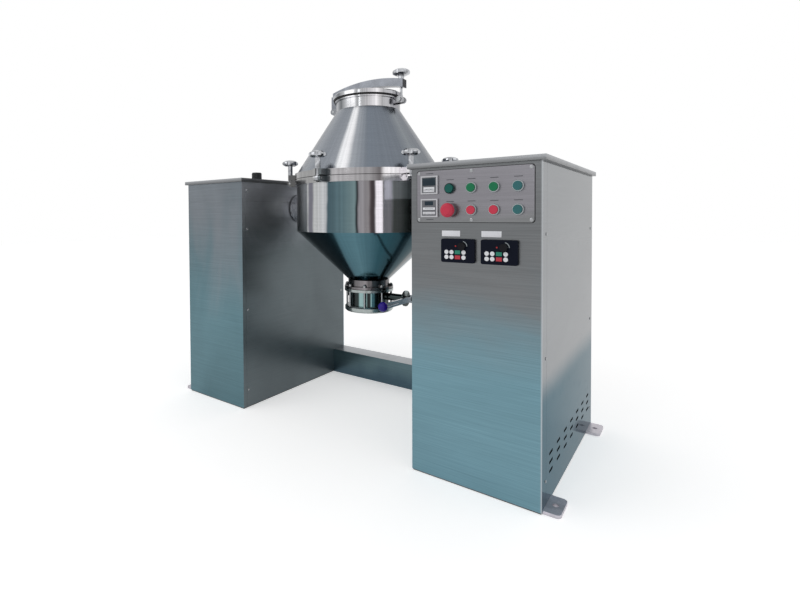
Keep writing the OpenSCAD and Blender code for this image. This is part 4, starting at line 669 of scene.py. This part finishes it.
# Finish, slot and height in mm over the meter's sunk floor
METER_LOOKS = {"field": (meter_field, "grey_plastic", 0.95),
               "window": (window_plastic, "black_plastic", 1.15),
               "light": (white_plastic, "white_plastic", 1.25),
               "strip": (key_plastic, "grey_plastic", 1.35)}


def make_meter_face(name, middle_z, parts):
    """Field, window and key strips of a meter: each part is (x, z, width, height, kind), in mm."""
    for number, (x, z, width, height, kind) in enumerate(parts):
        material, slot_name, lift = METER_LOOKS[kind]
        front = meter_low.y + (METER_FLOOR_IN - lift * MM)
        middle = (meter_x + x * MM, front + METER_FLOOR_IN / 2, middle_z + z * MM)
        front_plate("%s_%s_%d" % (name, kind, number), middle, width * MM, height * MM, METER_FLOOR_IN,
                    material, slot_name)


def make_meter_faces():
    upper_z, lower_z = meter_high.z - METER_HALF, meter_low.z + METER_HALF
    make_meter_face("upper_meter", upper_z, ((0, 0, 45, 45, "field"), (0, 9, 41, 22, "window"),
                                             (0, -13, 34, 14, "light"), (0, -13, 27, 4, "strip")))
    make_meter_face("lower_meter", lower_z, ((0, 0, 45, 45, "field"), (0, 13.5, 27, 12, "window"),
                                             (0, -2, 38, 7, "light"), (0, -2, 28, 2, "strip"),
                                             (0, -14.5, 38, 7, "light"), (0, -14.5, 28, 2, "strip")))


ARC_RADIUS = 13.5 * MM
ARC_WIDTH = 2.4 * MM
ARC_THICK = 0.5 * MM
ARC_TURN = math.radians(80)
ARC_STEPS = 20
ARC_START_THICK = 0.01 * MM


def make_speed_arcs():
    """A light printed arc beside each speed knob, raised a little from the keypad."""
    face_y = keypad_front + KEY_HEIGHT
    for name, x in knob_x.items():
        middle = Vector((x, face_y, middle_of(name)[2]))
        deselect_all()
        bpy.ops.mesh.primitive_cube_add(size=1, location=middle + Vector((ARC_RADIUS, -ARC_THICK / 2, 0)))
        piece = bpy.context.object
        piece.scale = (ARC_WIDTH, ARC_THICK, ARC_START_THICK)
        bpy.ops.object.transform_apply(location=False, rotation=False, scale=True)
        select_faces(piece, lambda polygon: polygon.normal.z > LOOKS_ALONG)
        bpy.ops.mesh.spin(steps=ARC_STEPS, angle=ARC_TURN, center=middle, axis=(0, 1, 0))
        bpy.ops.mesh.select_all(action="SELECT")
        bpy.ops.mesh.normals_make_consistent(inside=False)
        bpy.ops.object.mode_set(mode="OBJECT")
        fit(piece, name.replace("knob", "arc"), key_plastic, "stand")


LAMP_RADIUS = 2.2 * MM
LAMP_THICK = 0.7 * MM
LAMP_LEFT_OF_KNOB = 19 * MM


def make_keypad_lamps():
    """A small red lamp left of each speed knob."""
    for name, x in knob_x.items():
        place = (x - LAMP_LEFT_OF_KNOB, keypad_front + KEY_HEIGHT - LAMP_THICK / 2, middle_of(name)[2])
        deselect_all()
        bpy.ops.mesh.primitive_cylinder_add(vertices=24, radius=LAMP_RADIUS, depth=LAMP_THICK, location=place,
                                            rotation=(math.pi / 2, 0, 0))
        bpy.ops.object.mode_set(mode="EDIT")
        bpy.ops.mesh.select_all(action="SELECT")
        bpy.ops.mesh.bevel(offset=LAMP_THICK * EDGE_BEVEL, segments=2, affect="EDGES")
        bpy.ops.object.mode_set(mode="OBJECT")
        fit(bpy.context.object, name.replace("knob", "lamp"), lamp_plastic, "stand")


CAPTION_UP = 24.5 * MM
CAPTION_SIZE = (22 * MM, 1.8 * MM)
CAPTION_THICK = 0.3 * MM
METER_CAPTION_OUT = 7 * MM


def make_captions():
    """Plain dark strips over each button, over the upper meter and under the lower one."""
    buttons = ("power_button", "drum_start_button", "chopper_start_button", "jog_button",
               "emergency_stop", "drum_stop_button", "chopper_stop_button", "reset_button")
    places = []
    for name in buttons:
        x, _, z = middle_of(name)
        places.append((name, x, z + CAPTION_UP))
    places.append(("upper_meter", meter_x, meter_high.z + METER_CAPTION_OUT))
    places.append(("lower_meter", meter_x, meter_low.z - METER_CAPTION_OUT))
    for name, x, z in places:
        front_plate(name + "_caption", (x, plate_front - CAPTION_THICK / 2, z), *CAPTION_SIZE, CAPTION_THICK,
                    line_plastic, "black_plastic")


GASKET_OUT = 1.6 * MM
GASKET_THICK = 0.8 * MM
GASKET_CORNER = 9 * MM
GASKET_WIDTH = 1.92 * MM


def make_plate_gasket():
    """The dark edge strip that shows all round the control plate."""
    middle = (plate_low + plate_high) / 2
    size = plate_high - plate_low
    deselect_all()
    bpy.ops.mesh.primitive_plane_add(size=1, location=(middle.x, panel_front, middle.z),
                                     rotation=(math.pi / 2, 0, 0))
    piece = bpy.context.object
    piece.scale = (size.x + 2 * GASKET_OUT, size.z + 2 * GASKET_OUT, 1)
    bpy.ops.object.transform_apply(location=False, rotation=True, scale=True)
    bpy.ops.object.mode_set(mode="EDIT")
    bpy.ops.mesh.select_all(action="SELECT")
    bpy.ops.mesh.bevel(offset=GASKET_CORNER, segments=6, affect="VERTICES")
    bpy.ops.mesh.select_mode(type="FACE")
    bpy.ops.mesh.select_all(action="SELECT")
    bpy.ops.mesh.inset(thickness=GASKET_WIDTH)
    bpy.ops.mesh.delete(type="FACE")
    bpy.ops.mesh.select_all(action="SELECT")
    bpy.ops.mesh.extrude_region_move(TRANSFORM_OT_translate={"value": (0, -GASKET_THICK, 0)})
    bpy.ops.mesh.select_all(action="SELECT")
    bpy.ops.mesh.normals_make_consistent(inside=False)
    bpy.ops.object.mode_set(mode="OBJECT")
    fit(piece, "plate_gasket", black_rubber, "stand")


SCREEN_LENGTH = 580 * MM
SCREEN_LOW = 66 * MM
SCREEN_HIGH = 142 * MM
SCREEN_THICK = 2 * MM
SCREEN_RIM = 6 * MM
SHEET_THICK = 2 * MM


def make_vent_screen():
    """A dark sheet behind the ventilation slots: a low rim round a sunk field."""
    deselect_all()
    middle_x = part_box("right_outer_panel")[1].x - SHEET_THICK - SCREEN_THICK / 2
    bpy.ops.mesh.primitive_cube_add(size=1, location=(middle_x, 0, (SCREEN_LOW + SCREEN_HIGH) / 2))
    piece = bpy.context.object
    piece.scale = (SCREEN_THICK, SCREEN_LENGTH, SCREEN_HIGH - SCREEN_LOW)
    bpy.ops.object.transform_apply(location=False, rotation=False, scale=True)
    select_faces(piece, lambda polygon: polygon.normal.x > LOOKS_ALONG)
    bpy.ops.mesh.inset(thickness=SCREEN_RIM, depth=-SCREEN_THICK * SUNK_DEPTH)
    bpy.ops.object.mode_set(mode="OBJECT")
    fit(piece, "vent_screen", black_rubber, "stand")


make_labels()
make_vent_screen()
make_meter_faces()
make_speed_arcs()
make_keypad_lamps()
make_captions()
make_plate_gasket()


# Stage, light and camera

FLOOR_SIZE = 30
FLOOR_COLOUR = rgb(0.93, 0.93, 0.93)
FLOOR_LIFT = rgb(0.42, 0.42, 0.42)
WORLD_LIGHT = 0.62
WORLD_SHOWN = 1.0

# Name, place, aim, width, height and power of each softbox
SOFTBOXES = (
    ("key softbox", (-1.6, -2.6, 3.0), (0, 0, 0.7), 2.2, 2.2, 18),
    ("strip softbox", (0.2, -3.4, 2.2), (0, 0, 0.9), 0.35, 1.8, 5),
    ("fill softbox", (3.0, 0.6, 2.4), (0, 0, 0.6), 2.0, 2.0, 5))


def seen_directly(tree):
    """1 on rays from the camera, from reflections and through glass, and 0 on rays that light the object."""
    path = tree.nodes.new("ShaderNodeLightPath").outputs
    seen = math_node(tree, "MAXIMUM", path["Is Camera Ray"], path["Is Glossy Ray"])
    return math_node(tree, "MAXIMUM", seen, path["Is Transmission Ray"])


def make_floor():
    deselect_all()
    bpy.ops.mesh.primitive_plane_add(size=FLOOR_SIZE, location=(0, 0, 0))
    floor = bpy.context.object
    floor.name = "floor"
    material, tree, shader = new_material("pale floor", roughness=0.9, Specular_IOR_Level=0.1)
    shader["Base Color"].default_value = FLOOR_COLOUR
    tree.links.new(mix_colour(tree, seen_directly(tree), rgb(0, 0, 0), FLOOR_LIFT), shader["Emission Color"])
    shader["Emission Strength"].default_value = 1.0
    floor.data.materials.append(material)


def make_world():
    world = bpy.data.worlds.new("studio")
    bpy.context.scene.world = world
    world.use_nodes = True
    tree = world.node_tree
    background = tree.nodes["Background"].inputs
    background["Color"].default_value = rgb(1, 1, 1)
    strength = map_range(tree, seen_directly(tree), 0.0, 1.0, WORLD_LIGHT, WORLD_SHOWN)
    tree.links.new(strength, background["Strength"])


def make_softbox(name, place, aim, width, height, power):
    deselect_all()
    bpy.ops.object.light_add(type="AREA", location=place)
    lamp = bpy.context.object
    lamp.name = name
    lamp.data.shape = "RECTANGLE"
    lamp.data.size = width
    lamp.data.size_y = height
    lamp.data.energy = power
    direction = Vector(aim) - Vector(place)
    lamp.rotation_euler = direction.to_track_quat("-Z", "Y").to_euler()


def make_camera():
    camera = bpy.data.objects.new("camera", bpy.data.cameras.new("camera"))
    bpy.context.scene.collection.objects.link(camera)
    camera.location = CAMERA_PLACE
    aim = Euler((math.pi / 2 - CAMERA_PITCH_DOWN, 0, CAMERA_YAW)).to_matrix()
    camera.rotation_euler = (aim @ Matrix.Rotation(CAMERA_ROLL, 3, "Z")).to_euler()
    lens = camera.data
    lens.sensor_width = SENSOR_MM
    lens.lens = FOCAL_PX * SENSOR_MM / PHOTO_WIDTH_PX
    lens.shift_x = (PHOTO_WIDTH_PX / 2 - CENTRE_PX[0]) / PHOTO_WIDTH_PX
    lens.shift_y = (CENTRE_PX[1] - PHOTO_HEIGHT_PX / 2) / PHOTO_WIDTH_PX
    lens.clip_end = VIEW_END
    bpy.context.scene.camera = camera


make_floor()
make_world()
for softbox in SOFTBOXES:
    make_softbox(*softbox)
make_camera()
bpy.context.scene.view_settings.view_transform = "Standard"
